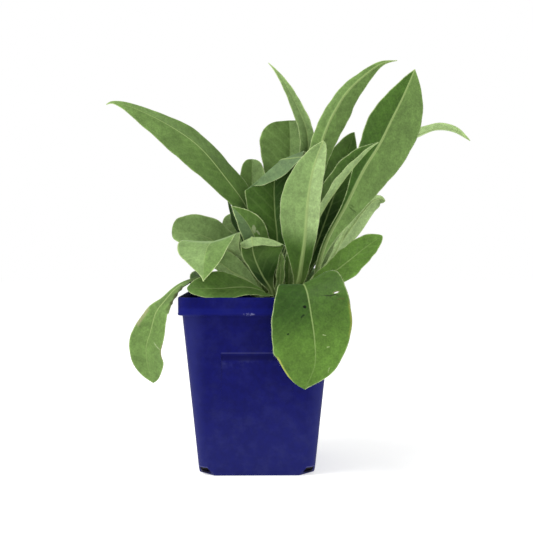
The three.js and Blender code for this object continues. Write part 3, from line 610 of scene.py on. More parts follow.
def spread(values, place):    # values spaced evenly over 0 to 1, mixed at each place
    values = np.atleast_1d(np.asarray(values, float))
    steps = np.clip(place, 0, 1) * (len(values) - 1)
    low = np.minimum(steps.astype(int), max(0, len(values) - 2))
    high = np.minimum(low + 1, len(values) - 1)
    share = steps - low
    if values.ndim > 1:
        share = share[:, None]
    return values[low] * (1 - share) + values[high] * share


def midribPoints(points, place):    # a centripetal curve through the points
    points = np.asarray(points, float)
    controls = np.vstack([2 * points[0] - points[1], points, 2 * points[-1] - points[-2]])
    steps = np.clip(place, 0, 1) * (len(points) - 1)
    index = np.minimum(steps.astype(int), len(points) - 2)
    w = (steps - index)[:, None]
    a, b, c, d = (controls[index + k] for k in range(4))
    first, second, third = (
        (np.sum((q - p) ** 2, axis=1) ** 0.25)[:, None] for p, q in ((a, b), (b, c), (c, d))
    )
    leave = ((b - a) / first - (c - a) / (first + second) + (c - b) / second) * second
    arrive = ((c - b) / second - (d - b) / (second + third) + (d - c) / third) * second
    return b + leave * w + (3 * (c - b) - 2 * leave - arrive) * w**2 + (2 * (b - c) + leave + arrive) * w**3


def unit(vectors):
    return vectors / np.maximum(np.linalg.norm(vectors, axis=-1, keepdims=True), 1e-9)


def creased(points, crease):    # all past a line, bent over it round a small radius; bow curves the line
    at = np.array(crease["at"], float)
    along = unit(np.array(crease["along"], float))
    over = np.array(crease["over"], float)
    over = unit(over - over.dot(along) * along)
    onward = np.cross(along, over)
    offset = points - at
    if offset[-1, points.shape[1] // 2].dot(onward) < 0:
        onward = -onward
    beside = offset @ along
    drop = crease["bow"] * beside**2
    past = offset @ onward + drop
    radius, most = crease["radius"], math.radians(crease["angle"])
    turn = np.clip(past / radius, 0, most)
    rest = np.maximum(past - radius * most, 0)
    inside = radius - offset @ over
    bent = (
        at
        + beside[..., None] * along
        + (inside * np.sin(turn) + rest * np.cos(turn) - drop)[..., None] * onward
        + (radius - inside * np.cos(turn) + rest * np.sin(turn))[..., None] * over
    )
    return np.where((past > 0)[..., None], bent, points)


def pair(value):    # one value, or one for the left and one for the right half
    return value if isinstance(value, tuple) else (value, value)


def halves(value, side):    # the same by column
    left, right = pair(value)
    return np.where(side > 0, right, left)[None, :]


def angles(value, t, side):    # the same for angles that change along the leaf
    left, right = (spread(profile, t)[:, None] for profile in pair(value))
    return np.radians(np.where(side[None, :] > 0, right, left))


def bladeBody(leaf, s, side):    # how full each half of the blade is along the leaf
    start = leaf["stalk"] * leafForm["bareStalk"]
    q = np.clip((s - start) / (1 - start), 0, 1)[:, None]
    broadest = halves(leaf["broadest"], side)
    low = q < broadest
    share = np.where(low, q / broadest, (1 - q) / (1 - broadest))
    return (share * (2 - share)) ** np.where(low, halves(leaf["foot"], side), halves(leaf["point"], side))


def leafSheet(name, leaf, form):    # the blade's middle surface, and where each point lies on the blade
    picks = random.Random(name)
    rows, columns = form["rows"], form["columns"]
    s = 1 - (1 - np.arange(rows + 1) / rows) ** form["tipCrowding"]
    even = np.linspace(0, 1, form["samples"])
    steps = np.linalg.norm(np.diff(midribPoints(leaf["midrib"], even), axis=0), axis=1)
    run = np.concatenate([[0], np.cumsum(steps)])
    length = run[-1]
    t = np.interp(s * length, run, even)
    centre = midribPoints(leaf["midrib"], t)
    ahead = leaf["even"]
    onward = unit(midribPoints(leaf["midrib"], t + ahead) - midribPoints(leaf["midrib"], t - ahead))
    up = spread(np.atleast_2d(leaf["faces"]), t)    # the way the blade faces
    up = unit(up - np.sum(up * onward, axis=1, keepdims=True) * onward)
    aside = np.cross(onward, up)
    even = np.linspace(-1, 1, columns + 1)
    column = even - form["columnCrowding"] * np.sin(2 * np.pi * even) / (2 * np.pi)
    column[[0, columns // 2, columns]] = (-1, 0, 1)
    side = np.sign(column)
    reach = abs(column)
    body = bladeBody(leaf, s, side)
    stalk = (spread(form["stalkHalf"], s) * (1 - s**6))[:, None] * (1 - body)
    span = stalk + halves(leaf["width"], side) / 2 * body + form["edgeHalf"]
    phases = [picks.uniform(0, 2 * math.pi) for _ in range(6)]
    teeth, spacing = form["edgeTeeth"]
    swing, swings = form["edgeSwing"]
    left, right = (
        teeth * (abs(np.sin(np.pi * s * length / spacing + phases[k])) - 0.6)
        + swing * np.sin(2 * np.pi * s * swings + phases[k + 2])
        for k in (0, 1)
    )
    uneven = np.where(side[None, :] > 0, right[:, None], left[:, None]) * np.minimum(1, body * 1.5)
    if leaf["torn"]:    # a dried margin, crumpled and torn: half, start, end and depth
        half, start, end, deep = leaf["torn"]
        window = np.clip(np.minimum(s - start, end - s) * 14, 0, 1)
        jag = np.array([picks.uniform(-0.3, 1.0) for _ in s])
        torn = (jag * window)[:, None] * (side == half)[None, :]
        uneven = uneven + deep * torn
    fine = np.maximum(span + uneven, form["thinnest"])
    ease = np.minimum(1, body * 1.6 + 0.15)
    fold, curl = (angles(leaf[key], t, side) * ease for key in ("fold", "curl"))
    out = fine / curl * (np.sin(fold + curl * reach) - np.sin(fold))
    height, waves, phase = leaf["wave"]
    lift = fine / curl * (np.cos(fold) - np.cos(fold + curl * reach))
    lift = lift + height * body * reach**2 * np.sin(2 * np.pi * waves * s[:, None] + phase + side * 1.1)
    ripple = np.sin(2 * np.pi * form["ripples"] * s[:, None] + phases[4] + side * 2.3)
    lift = lift + form["edgeRipple"] * body * reach**4 * ripple
    if leaf["torn"]:
        lift = lift + (torn - 0.3 * (torn > 0)) * deep * reach**3
    across = (side * out)[..., None] * aside[:, None, :]
    points = centre[:, None, :] + across + lift[..., None] * up[:, None, :]
    if leaf["crease"]:
        points = creased(points, leaf["crease"])
    shape = points.shape[:2]
    normals = unit(np.cross(np.gradient(points, axis=1), np.gradient(points, axis=0)))
    return {
        "points": points, "normals": normals,
        "s": s, "body": body, "across": np.broadcast_to(column, shape), "reach": fine * column,
        "run": np.broadcast_to((s * length)[:, None], shape), "inset": fine * (1 - reach),
    }


def bladeFaces(sheet, form):    # the upper and under sides' points: a thin blade with a rib below
    reach, run = sheet["reach"], sheet["run"]

    def profile(key):
        return spread(form[key], sheet["s"])[:, None]

    look = leafFinish
    edge = np.sqrt(np.maximum(0, 1 - abs(sheet["across"]) ** 7))
    half = profile("blade") / 2 * edge
    rib = np.exp(-(reach / profile("ribHalf")) ** 2)
    away = abs(reach)
    phase = (run - away * look["veinSlant"] + away**2 * look["veinBow"]) / look["veinSpacing"]
    swell = form["puff"] * (0.5 - 0.5 * np.cos(2 * np.pi * phase)) * edge * sheet["body"] * (1 - rib)
    upper = half + swell - profile("groove") * rib * edge
    under = half - swell + profile("ribDepth") * rib * edge
    points, normals = sheet["points"], sheet["normals"]
    return points + normals * upper[..., None], points - normals * under[..., None]


def leafHairs(name, sheet, form):    # short hairs on the margin, each a slim closed spike
    picks = random.Random(name + "_hair")
    points, normals = sheet["points"], sheet["normals"]
    rows, columns = form["rows"], form["columns"]
    spikes = []
    for _ in range(form["hairs"]):
        row = int(picks.uniform(0.1, 0.97) * rows)
        edge, inner = picks.choice(((0, 1), (columns, columns - 1)))
        share = picks.random()
        foot = points[row, edge] * (1 - share) + points[row + 1, edge] * share
        outward = unit(points[row, edge] - points[row, inner])
        onward = unit(points[row + 1, edge] - points[row, edge])
        lean = outward + onward * picks.uniform(-0.2, 0.7) + normals[row, edge] * picks.uniform(-0.4, 0.4)
        tip = foot + unit(lean) * picks.uniform(*form["hairLength"])
        foot = foot - outward * form["hairRoot"]
        wide = form["hairHalf"]
        base = [foot + onward * wide, foot - onward * wide, foot + normals[row, edge] * wide * 1.6]
        spikes.append(base + [tip])
    return np.array(spikes)


def leafMaterialFor(name, leaf):    # leaves of the same finish share one material
    key = tuple(str(leaf[part]) for part in ("upper", "under", "fade", "marks", "ribs", "veins", "rim"))
    if key not in leafMaterials:
        leafMaterials[key] = leafMaterial(name + "_green", leaf)
    return leafMaterials[key]


def makeLeaf(name, given):
    leaf = {**leafDefaults, **given}
    form = leafForm
    sheet = leafSheet(name, leaf, form)
    upper, under = bladeFaces(sheet, form)
    rows, columns = form["rows"], form["columns"]
    inner = columns - 1
    count = (rows + 1) * (columns + 1)
    hairs = leafHairs(name, sheet, form)
    vertices = np.vstack([points.reshape(-1, 3) for points in (upper, under[:, 1:-1], hairs)])
    vertices = np.clip(vertices, *(np.array(corner) / mm for corner in cadBox))    # not past the solids' box

    def top(row, column):
        return row * (columns + 1) + column

    def bottom(row, column):
        if column in (0, columns):
            return top(row, column)
        return count + row * inner + column - 1

    faces, sides = [], []

    def face(corners, sideShare):
        faces.append(list(dict.fromkeys(corners)))
        sides.append(sideShare)

    for row in range(rows):
        for column in range(columns):
            ring = ((row, column), (row, column + 1), (row + 1, column + 1), (row + 1, column))
            face([top(*place) for place in ring], 1.0)
            face([bottom(*place) for place in reversed(ring)], 0.0)
    for column in range(columns):
        face([top(0, column), bottom(0, column), bottom(0, column + 1), top(0, column + 1)], 0.0)
        face([top(rows, column + 1), bottom(rows, column + 1), bottom(rows, column), top(rows, column)], 0.0)
    bladeCount = len(faces)
    first = count + (rows + 1) * inner
    for a in range(first, first + 4 * len(hairs), 4):
        b, c, d = a + 1, a + 2, a + 3
        for corners in ((a, b, d), (b, c, d), (c, a, d), (a, c, b)):
            face(corners, 1.0)
    mesh = bpy.data.meshes.new("leaf_" + name + "_blade")
    mesh.from_pydata([tuple(v) for v in vertices * mm], [], faces)
    along = np.broadcast_to(sheet["s"][:, None], sheet["run"].shape)
    for label, maps in (
        ("blade", (sheet["reach"], sheet["run"], sheet["inset"])),
        ("place", (sheet["across"], along, sheet["body"])),
    ):
        values = np.stack(maps, axis=-1)
        blank = np.zeros((len(hairs) * 4, 3))
        flat = np.vstack([values.reshape(-1, 3), values[:, 1:-1].reshape(-1, 3), blank])
        store = mesh.attributes.new(label, "FLOAT_VECTOR", "POINT")
        store.data.foreach_set("vector", flat.astype(np.float32).ravel())
    store = mesh.attributes.new("side", "FLOAT", "FACE")
    store.data.foreach_set("value", np.array(sides, np.float32))
    mesh.materials.append(leafMaterialFor(name, leaf))
    mesh.materials.append(hairFinish)
    mesh.polygons.foreach_set("material_index", [0] * bladeCount + [1] * (len(faces) - bladeCount))
    mesh.polygons.foreach_set("use_smooth", [True] * len(faces))
    mesh.validate()
    dress(newPiece(name + "_leaf", mesh), "leaf_" + name)


def newPiece(name, mesh):
    piece = bpy.data.objects.new(name, mesh)
    scene.collection.objects.link(piece)
    return piece


leafMaterials = {}
hairFinish = hairMaterial()
for name, given in leafPieces.items():
    makeLeaf(name, given)
print("leaves made:", len(leafPieces))


# The pot: a thin moulded square pot with a rim band, drain corners and a bare sunk panel in front

potForm = {
    "height": 126.0, "rimHalf": 55.0, "rimBand": 12.8, "rimStep": 0.4,
    "shoulderHalf": 52.0, "footHalf": 41.0, "footChamfer": 0.8, "wall": 1.2,
    "cornerRadius": 8.5, "cornerSteps": 9, "sideSteps": 6, "levels": 14,
    "bow": 0.3,                      # how far the thin sides bow in at mid height
    # rings of the rim outside and inside: inset, added corner radius and height
    "bandRings": ((0.45, 0.8, -0.15), (0.12, 0.95, 0.08), (0, 1, 0.5), (0, 1, 1.1), (0.18, 0.9, 1.8)),
    "topRings": ((0.12, 0.9, -1.2), (0.16, 0.85, -0.45), (0.32, 0.7, -0.13), (0.6, 0.4, 0)),
    "innerRings": ((0.3, -0.2, 0.3), (0, 0, 0.8)),
    "mouthRings": ((0, 0, -0.35), (-0.25, 0.1, -0.06), (-0.45, 0.2, 1)),
    "drainStart": 29.0, "drainEnd": 34.5, "drainTop": 5.8, "padTop": 3.1,
    "panelHalf": 24.8, "panelBottom": 53.0, "panelTop": 87.0, "panelDepth": (0.16, 0.6),    # bottom, top
    "seat": 0.3,                     # between the wall and the soil
    "sharp": 32,                     # degrees from which an edge stays sharp
}

potFinish = {
    "blue": (5, 8, 82), "blueLight": (11, 14, 88),
    "lipHighlight": (12, 18, 100),          # painted highlight along the rim band's lower edge
    "wornAndLit": (40, 44, 106),         # the corners and the foot: partly wear, partly painted light and painted reflection
    "dust": (54, 58, 112),
    "panelShade": (0, 0, 60),
    "scuff": (104, 106, 150),
    "shade": (3, 3, 8),            # the raised pads behind the drain corners
    "scuffAt": (-5.5, -55.0, 114.6), "scuffHalf": (5.0, 2.0, 1.3),    # on the rim's lower edge
    "cornerWearAndLight": (34.0, 46.0),    # how far out the lighter corners start and are full: partly wear, partly painted light
    "footWearAndReflection": (6.0, 78.0),       # how far up the lighter foot is full and ends: partly wear, partly painted reflection of the floor
    "roughness": 0.42, "gloss": 0.08,
    "bump": (0.35, 0.4),           # strength and depth
}


def bodyHalf(form, z):
    foot, shoulder = form["footHalf"], form["shoulderHalf"]
    return foot + (shoulder - foot) * z / (form["height"] - form["rimBand"])


def squareRing(form, half, radius, z, bow=0.0):    # a rounded square, anticlockwise from above
    ring = []
    steps = form["cornerSteps"]
    for corner in range(4):
        middle = math.pi / 4 + corner * math.pi / 2
        centre, following = (
            [math.copysign(half - radius, f(turn)) for f in (math.cos, math.sin)]
            for turn in (middle, middle + math.pi / 2)
        )
        for step in range(steps + 1):
            angle = middle + (step / steps - 0.5) * math.pi / 2
            ring.append((centre[0] + radius * math.cos(angle), centre[1] + radius * math.sin(angle), z))
        face = middle + math.pi / 4
        for step in range(1, form["sideSteps"]):
            share = step / form["sideSteps"]
            depth = radius - bow * math.sin(math.pi * share) ** 2
            place = [a + (b - a) * share + depth * f(face)
                     for a, b, f in zip(centre, following, (math.cos, math.sin))]
            ring.append((*place, z))
    return ring


def skin(rings):    # the two caps and the sides through rings with the same number of corners
    count = len(rings[0])
    sides = [
        (low[k], low[(k + 1) % count], high[(k + 1) % count], high[k])
        for low, high in zip(rings, rings[1:]) for k in range(count)
    ]
    return [rings[0][::-1], rings[-1]], sides


def stackedPiece(name, rings):    # a closed piece through rings of points
    count = len(rings[0])
    caps, sides = skin([list(range(start, start + count)) for start in range(0, count * len(rings), count)])
    mesh = bpy.data.meshes.new(name)
    mesh.from_pydata([tuple(c * mm for c in point) for ring in rings for point in ring], [], caps + sides)
    return newPiece(name, mesh)


def carve(piece, tool):    # one solid cut by another
    cut = piece.modifiers.new("cut", "BOOLEAN")
    cut.operation = "DIFFERENCE"
    cut.solver = "EXACT"
    cut.object = tool
    seen = piece.evaluated_get(bpy.context.evaluated_depsgraph_get())
    mesh = bpy.data.meshes.new_from_object(seen)
    piece.modifiers.clear()
    piece.data = mesh
    bpy.data.objects.remove(tool)


def drainLift(form):    # how much nearer the corner a drain's slanted cut runs for each mm up
    return (form["drainEnd"] - form["drainStart"]) / form["drainTop"]


def drainZone(form, corner, reach, top):    # all outside a slanted plane across a corner, up to a height
    sx = 1 if corner % 2 else -1
    sy = -1 if corner < 2 else 1
    far = form["rimHalf"] * 1.2
    lift = drainLift(form)
    low = form["drainStart"] + form["footHalf"] + reach - lift
    rings = []
    for limit, z in ((low, -1), (low + lift * (top + 1), top)):
        ring = [(sx * (limit - far), sy * far, z), (sx * far, sy * far, z), (sx * far, sy * (limit - far), z)]
        rings.append(ring if sx * sy < 0 else ring[::-1])
    return stackedPiece("zone", rings)


def makePot():
    form = potForm
    wall, radius, top = form["wall"], form["cornerRadius"], form["height"]
    shoulder = top - form["rimBand"]
    rim, foot, chamfer = form["rimHalf"], form["footHalf"], form["footChamfer"]

    def ring(half, corner, z, bow=0.0):
        return squareRing(form, half, corner, z, bow)

    def walls(inset, low, high):
        rings = []
        for level in range(form["levels"] + 1):
            z = low + (high - low) * level / form["levels"]
            bow = form["bow"] * math.sin(math.pi * z / shoulder) if 0 < z < shoulder else 0.0
            rings.append(ring(bodyHalf(form, z) - inset, radius - inset, z, bow))
        return rings

    def band(rows, half, base):
        return [ring(half - inset, radius + more, base + rise) for inset, more, rise in form[rows]]

    small = chamfer * 0.35
    outside = [ring(foot - chamfer, radius - chamfer, 0), ring(foot - small, radius - small, chamfer * 0.2)]
    outside += walls(0, chamfer, shoulder - 0.25)
    outside.append(ring(form["shoulderHalf"] + 0.25, radius + 0.1, shoulder))
    outside += band("bandRings", rim, shoulder + form["rimStep"]) + band("topRings", rim, top)
    inside = walls(wall, wall, shoulder)
    inside.append(ring(form["shoulderHalf"] - wall + 0.2, radius - wall, shoulder + wall))
    inside += band("innerRings", rim - wall, shoulder + wall) + band("mouthRings", rim - wall, top)
    pot = stackedPiece("nursery_pot", outside)
    cavity = stackedPiece("cavity", inside)
    for corner in range(4):
        carve(cavity, drainZone(form, corner, -wall * 2, form["padTop"]))
        carve(pot, drainZone(form, corner, 0, form["padTop"] - wall))
        core = [ring(bodyHalf(form, z) - wall - form["seat"], radius - wall, level)
                for z, level in ((0, -1), (form["drainTop"], form["drainTop"] + 1))]
        slot = drainZone(form, corner, 0, form["drainTop"])
        carve(slot, stackedPiece("core", core))
        carve(pot, slot)
    carve(pot, cavity)
    half = form["panelHalf"]
    panel = []
    for z, depth in zip((form["panelBottom"], form["panelTop"]), form["panelDepth"]):
        near = depth - bodyHalf(form, z)
        panel.append([(-half, -rim, z), (half, -rim, z), (half, near, z), (-half, near, z)])
    carve(pot, stackedPiece("panel", panel))
    pot.data.materials.clear()
    pot.data.materials.append(potMaterial())
    pot.data.polygons.foreach_set("use_smooth", [True] * len(pot.data.polygons))
    pot.data.set_sharp_from_angle(angle=math.radians(form["sharp"]))
    dress(pot, "pot")


def potMaterial():
    look, form = potFinish, potForm
    material, root = newMaterial("pot_plastic")
    where = objectPlace(root)
    x, y, z = where.shade(1 / mm).parts()
    patch = where.noise(26.0, 3.0)
    smear = where.noise(95.0, 4.0, 0.65)
    grain = where.noise(1400.0, 2.0)
    lines = where.vector("MULTIPLY", (1.0, 1.0, 0.05)).noise(700.0, 2.0)
    offset = where.vector("SUBTRACT", tuple(value * mm for value in look["scuffAt"]))
    offset = offset.vector("MULTIPLY", tuple(1 / (value * mm) for value in look["scuffHalf"]))
    near = 1 - offset.vector("LENGTH", out="Value").rise(0.55, 1.0)
    scuff = near * where.noise(1100.0, 3.0).rise(0.44, 0.56)
    shoulder = form["height"] - form["rimBand"]
    # painted highlight where the rim band's lower edge catches the light
    lipHighlight = z.rise(shoulder + 0.6, shoulder + 2.0) * (1 - z.rise(shoulder + 4.2, shoulder + 6.5))
    # lighter at the corners and towards the foot: partly wear, partly painted light on the corners and
    # painted reflection of the pale floor
    corner = abs(x).lower(abs(y)).rise(*look["cornerWearAndLight"]) * (1 - z.rise(shoulder, shoulder + 2))
    low = 1 - z.rise(*look["footWearAndReflection"])
    drain, pad = form["drainTop"], form["padTop"]
    start = form["drainStart"] + form["footHalf"]
    outer = (abs(x) + abs(y) - z * drainLift(form)).rise(start, start + 0.4)    # past a drain's slanted cut
    under = outer * (1 - z.rise(pad, pad + 0.1))
    # a thin lighter line above each drain opening: partly wear, partly a painted highlight on the edge
    brow = outer * z.rise(drain - 0.2, drain) * (1 - z.rise(drain + 0.4, drain + 1.0))
    half, top = form["panelHalf"], form["panelTop"]
    panel = (1 - y.rise(-40.0, -36.0)) * (1 - abs(x).rise(half - 0.3, half + 0.1))
    # a thin painted highlight along the panel's top edge, in the scuff colour, partly wear
    edge = 1 - abs(z - top - 0.35).rise(0.2, 0.75)
    below = 1 - abs(z - top + 2.2 + smear * 1.5).rise(0.8, 3.0)
    frost = panel * z.rise(top - 12, top - 6) * (1 - z.rise(top - 5, top - 2))
    tone = patch.rise(0.3, 0.75).blend(linear(*look["blue"]), linear(*look["blueLight"]))
    tone = where.noise(210.0, 4.0, 0.7).rise(0.3, 0.7).blend(tone.shade(0.86), tone.shade(1.16))
    dust = smear.rise(0.42, 0.7) * (0.1 + low * 0.12 + frost * 0.5)
    for mask, colour in (
        (lipHighlight * 0.8, "lipHighlight"), (low * 0.35 + corner * 0.55, "wornAndLit"), (dust, "dust"),
        (panel * edge * 0.16, "scuff"), (panel * below * 0.7, "panelShade"), (scuff * 0.85, "scuff"),
        (brow * 0.4, "scuff"), (under * 0.92, "shade"),
    ):
        tone = mask.blend(tone, linear(*look[colour]))
    height = grain * 0.12 + lines * 0.2 + patch * 0.9 + scuff * 0.5
    rough = look["roughness"] + smear * 0.12 + scuff * 0.3 + lines * 0.05
    more = {"bump": (*look["bump"], height), "Specular IOR Level": look["gloss"]}
    finish(root, plainCoat(root, tone, rough, more))
    return material


makePot()
print("pot made")


# Potting soil: a rough fibrous mound with crumbs on it

soilForm = {
    "edge": 116.5, "mound": 3.4, "centre": (19.0, 1.0), "spread": 27.0,
    "hollowHigh": (0.6, 0.4), "hollowAcross": (0.23, 0.11), "hollowBack": (0.21, 0.17),
    "rings": 46, "floor": 4.0, "gap": 0.25,
    "rough": 0.9, "roughScale": (0.45, 1.1),    # height of the crumbly surface, and its two noise scales
    "crumbs": (760, (0.5, 2.1), 0.2, 0.75),     # number, half size, share of it above the soil, flatness
    "grains": (16, (0.7, 1.3), 0.4, 0.9),
    "fibres": (150, (3.0, 9.0), 0.5, 0.32),     # number, length, height above the soil, half thickness
    "fibreSides": 5,
    "clear": 6.5, "border": 2.0,                # kept free of crumbs round a shoot and along the wall
}

soilFinish = {
    "dark": (34, 24, 17), "light": (64, 46, 33),
    "lowShadeFrom": (20.0, 60.0), "lowShade": 0.12,    # how high the painted shade on the low soil reaches, and its share of the tone
    "fibre": ((70, 48, 30), (120, 90, 58), 900.0, 0.8),    # dark, light, noise scale, roughness
    "grain": ((170, 168, 160), (222, 220, 212), 1600.0, 0.75),
}

shootForm = {
    "places": {"front_left": (9, -8), "front_right": (29, -8), "back_left": (9, 11), "back_right": (29, 11)},
    "foot": 96.0, "top": 127.5, "radius": 5.4, "footShare": 0.6, "dome": 4.0,
    "sides": 40, "levels": 16, "ribs": (7, 8, 9), "ribDepth": 0.035,
    "dark": (120, 140, 78), "light": (176, 190, 130), "base": (176, 150, 120), "baseFrom": (118.0, 123.5),
}


def soilTop(x, y):    # the mound with its hollows and its crumbly surface
    form = soilForm
    away = math.hypot(x - form["centre"][0], y - form["centre"][1]) / form["spread"]
    high, across, back = form["hollowHigh"], form["hollowAcross"], form["hollowBack"]
    first = high[0] * math.sin(x * across[0] + 1) * math.cos(y * back[0])
    second = high[1] * math.sin(x * across[1] + y * back[1])
    coarse, fine = form["roughScale"]
    crumbly = noise.noise(Vector((x * coarse, y * coarse, 3.1)))
    crumbly += 0.6 * noise.noise(Vector((x * fine, y * fine, 7.7)))
    return form["edge"] + form["mound"] * math.exp(-away * away) + first + second + form["rough"] * crumbly


def soilMaterial():
    look = soilFinish
    material, root = newMaterial("potting_soil")
    where = objectPlace(root)
    patch = where.noise(150.0, 4.0, 0.6)
    grain = where.noise(1500.0, 3.0, 0.7)
    tone = patch.rise(0.3, 0.7).blend(linear(*look["dark"]), linear(*look["light"]))
    tone = grain.rise(0.35, 0.75).blend(tone.shade(0.7), tone.shade(1.35))
    # painted shade: the soil much darker towards the bottom, where it is seen through the drain corners
    lowShade = 1 - where.parts()[2].rise(*(z * mm for z in look["lowShadeFrom"]))
    tone = lowShade.blend(tone, tone.shade(look["lowShade"]))
    more = {"bump": (0.8, 0.6, grain + patch), "Specular IOR Level": 0.3}
    finish(root, plainCoat(root, tone, 0.82 + grain * 0.15, more))
    return material


def mottledMaterial(name, dark, light, scale, rough):    # two near tones over a noise
    material, root = newMaterial(name)
    grain = objectPlace(root).noise(scale, 3.0, 0.6)
    tone = grain.rise(0.3, 0.7).blend(linear(*dark), linear(*light))
    finish(root, plainCoat(root, tone, rough, {"bump": (0.5, 0.3, grain)}))
    return material


def addLump(bm, picks, centre, half, flat, slot):    # a lumpy grain
    made = bmesh.ops.create_icosphere(bm, subdivisions=1 if half < 1.2 else 2, radius=half)
    scale = [picks.uniform(0.7, 1.2), picks.uniform(0.7, 1.2), flat]
    seed = Vector((picks.random(), picks.random(), picks.random())) * 50
    for vertex in made["verts"]:
        swell = 1 + 0.35 * noise.noise(vertex.co * (1.3 / half) + seed)
        vertex.co = Vector(centre) + Vector([c * s * swell for c, s in zip(vertex.co, scale)])
    for face in {face for vertex in made["verts"] for face in vertex.link_faces}:
        face.material_index = slot
        face.smooth = True


def addFibre(bm, picks, centre, length, half):    # a short bent fibre of bark or root
    turn, lean = picks.uniform(0, math.pi), picks.uniform(-0.25, 0.25)
    bend = picks.uniform(-0.2, 0.2) * length
    ahead = Vector((math.cos(turn), math.sin(turn), 0))
    beside = Vector((-math.sin(turn), math.cos(turn), 0))
    sides = soilForm["fibreSides"]
    rings = []
    for share in (0, 0.33, 0.67, 1):
        run = (share - 0.5) * length
        side = bend * (1 - (2 * share - 1) ** 2)
        middle = Vector(centre) + ahead * run + beside * side + Vector((0, 0, run * lean))
        thick = half * (0.55 + 0.45 * math.sin(math.pi * (0.15 + 0.7 * share)))
        ring = []
        for k in range(sides):
            angle = 2 * math.pi * k / sides
            outward = beside * math.cos(angle) + Vector((0, 0, math.sin(angle)))
            ring.append(bm.verts.new(middle + outward * thick))
        rings.append(ring[::-1])
    for corners in sum(skin(rings), []):
        face = bm.faces.new(corners)
        face.material_index = 1
        face.smooth = True


def makeSoil():
    form, pot = soilForm, potForm
    picks = random.Random(11)
    bm = bmesh.new()
    gap = pot["wall"] + pot["seat"] + form["gap"]
    edge, radius = pot["rimHalf"] - gap, pot["cornerRadius"]
    shoulder = pot["height"] - pot["rimBand"]
    brim = shoulder + pot["wall"]
    rings = [
        squareRing(pot, bodyHalf(pot, form["floor"]) - gap, radius - gap, form["floor"]),
        squareRing(pot, bodyHalf(pot, shoulder) - gap, radius - gap, brim),
        squareRing(pot, edge, radius, brim + 1),
    ]
    for step in range(form["rings"]):
        share = 1 - step / form["rings"]
        rings.append([(x, y, soilTop(x, y)) for x, y, _ in squareRing(pot, edge * share, radius * share, 0)])
    caps, sides = skin([[bm.verts.new(point) for point in ring] for ring in rings])
    for corners in caps:
        bm.faces.new(corners)
    for corners in sides:
        bm.faces.new(corners).smooth = True

    def spot():    # a free place on the soil
        reach = edge - form["border"]
        while True:
            x, y = picks.uniform(-reach, reach), picks.uniform(-reach, reach)
            clear = min(math.dist((x, y), place) for place in shootForm["places"].values())
            corner = math.hypot(max(0, abs(x) - edge + 9), max(0, abs(y) - edge + 9))
            if clear > form["clear"] and corner < 7.5:
                return x, y, soilTop(x, y)

    count, size, rise, flat = form["crumbs"]
    for _ in range(count):
        x, y, z = spot()
        half = picks.uniform(*size) * picks.uniform(0.5, 1)
        addLump(bm, picks, (x, y, z + half * rise), half, flat, 0)
    count, size, rise, half = form["fibres"]
    for _ in range(count):
        x, y, z = spot()
        addFibre(bm, picks, (x, y, z + rise), picks.uniform(*size), half)
    count, size, rise, flat = form["grains"]
    for _ in range(count):
        x, y, z = spot()
        half = picks.uniform(*size)
        addLump(bm, picks, (x, y, z + half * rise), half, flat, 2)
    bmesh.ops.scale(bm, vec=(mm, mm, mm), verts=bm.verts)
    mesh = bpy.data.meshes.new("soil_top")
    bm.to_mesh(mesh)
    bm.free()
    mesh.materials.append(soilMaterial())
    for name in ("fibre", "grain"):
        mesh.materials.append(mottledMaterial("soil_" + name, *soilFinish[name]))
    dress(newPiece("soil_and_crumbs", mesh), "potting_soil")


def shootMaterial():
    look = shootForm
    material, root = newMaterial("shoot_green")
    where = objectPlace(root)
    streak = where.vector("MULTIPLY", (1.0, 1.0, 0.12)).noise(700.0, 3.0)
    tone = streak.rise(0.3, 0.7).blend(linear(*look["dark"]), linear(*look["light"]))
    low = 1 - where.parts()[2].rise(*(z * mm for z in look["baseFrom"]))
    tone = (low * 0.8).blend(tone, linear(*look["base"]))
    more = {"bump": (0.6, 0.4, streak), "Sheen Weight": 0.3}
    finish(root, plainCoat(root, tone, 0.5 + streak * 0.2, more))
    return material


def makeShoot(name, place, material):
    form = shootForm
    picks = random.Random(name)
    ribs, turn = picks.choice(form["ribs"]), picks.uniform(0, 6)
    slim, depth = form["footShare"], form["ribDepth"]
    rings = []
    for level in range(form["levels"] + 1):
        share = level / form["levels"]
        z = form["foot"] + (form["top"] - form["foot"]) * share
        above = max(0, z - (form["top"] - form["dome"])) / form["dome"]
        radius = form["radius"] * (slim + (1 - slim) * min(1, share * 4)) * math.sqrt(max(0.02, 1 - above**2))
        ring = []
        for k in range(form["sides"]):
            angle = 2 * math.pi * k / form["sides"]
            swell = radius * (1 - depth + depth * math.cos(ribs * angle + turn + share))
            ring.append((place[0] + swell * math.cos(angle), place[1] + swell * math.sin(angle), z))
        rings.append(ring)
    piece = stackedPiece(name + "_shoot", rings)
    piece.data.materials.append(material)
    piece.data.polygons.foreach_set("use_smooth", [True] * len(piece.data.polygons))
    dress(piece, "shoot_" + name)


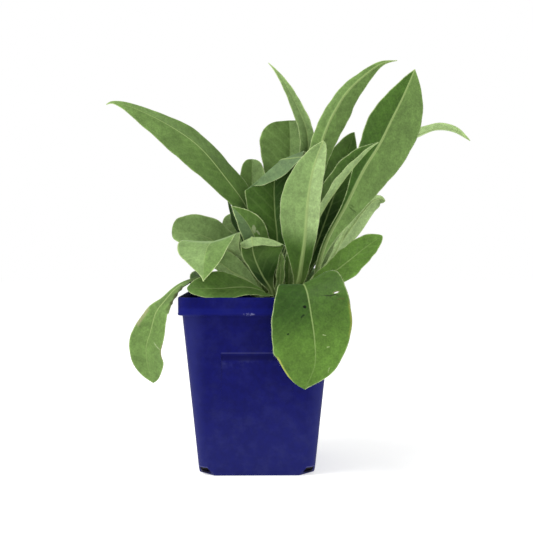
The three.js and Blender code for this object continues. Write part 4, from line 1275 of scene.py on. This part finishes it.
makeSoil()
shootFinish = shootMaterial()
for name, place in shootForm["places"].items():
    makeShoot(name, place, shootFinish)
print("soil and shoots made")


# Floor, light and background

stageLook = {
    "floorHalf": 4000.0, "floorDrop": 0.1,
    "floorTone": 0.8, "floorRough": 0.8, "floorGloss": 0.1, "floorGlow": 0.53,
    "white": (1.0, 1.0, 1.0, 1.0), "skyLight": 0.6, "backdrop": 1.0,
    "target": (0.0, 0.0, 150.0),
    "lights": {    # place, size, power
        "key": ((-800.0, -350.0, 1300.0), 800.0, 18.0),
        "fill": ((900.0, -900.0, 500.0), 900.0, 3.0),
    },
}


def areaLight(name, place, size, power):
    data = bpy.data.lights.new(name, "AREA")
    data.shape = "SQUARE"
    data.size = size * mm
    data.energy = power
    light = bpy.data.objects.new(name, data)
    light.location = Vector(place) * mm
    light.rotation_mode = "QUATERNION"
    light.rotation_quaternion = (Vector(stageLook["target"]) - Vector(place)).to_track_quat("-Z", "Y")
    scene.collection.objects.link(light)


def makeStage():
    look = stageLook
    half, low = look["floorHalf"] * mm, -look["floorDrop"] * mm
    mesh = bpy.data.meshes.new("floor")
    corners = [(-half, -half, low), (half, -half, low), (half, half, low), (-half, half, low)]
    mesh.from_pydata(corners, [], [(0, 1, 2, 3)])
    material, root = newMaterial("pale_floor")
    finish(root, plainCoat(root, (look["floorTone"],) * 3 + (1.0,), look["floorRough"], {
        "Specular IOR Level": look["floorGloss"],
        "Emission Color": look["white"], "Emission Strength": look["floorGlow"],
    }))
    mesh.materials.append(material)
    newPiece("floor", mesh)
    world = bpy.data.worlds.new("white_studio")
    scene.world = world
    world.use_nodes = True
    world.node_tree.nodes.clear()
    root = Wire(world.node_tree)
    seen = root.make("ShaderNodeLightPath", {}, {}, "Is Camera Ray")
    strength = look["skyLight"] + seen * (look["backdrop"] - look["skyLight"])
    sky = root.make("ShaderNodeBackground", {}, {"Color": look["white"], "Strength": strength})
    finish(root, sky, "World")
    for name, settings in look["lights"].items():
        areaLight(name, *settings)
    scene.view_settings.view_transform = "Standard"


makeStage()
print("stage set")
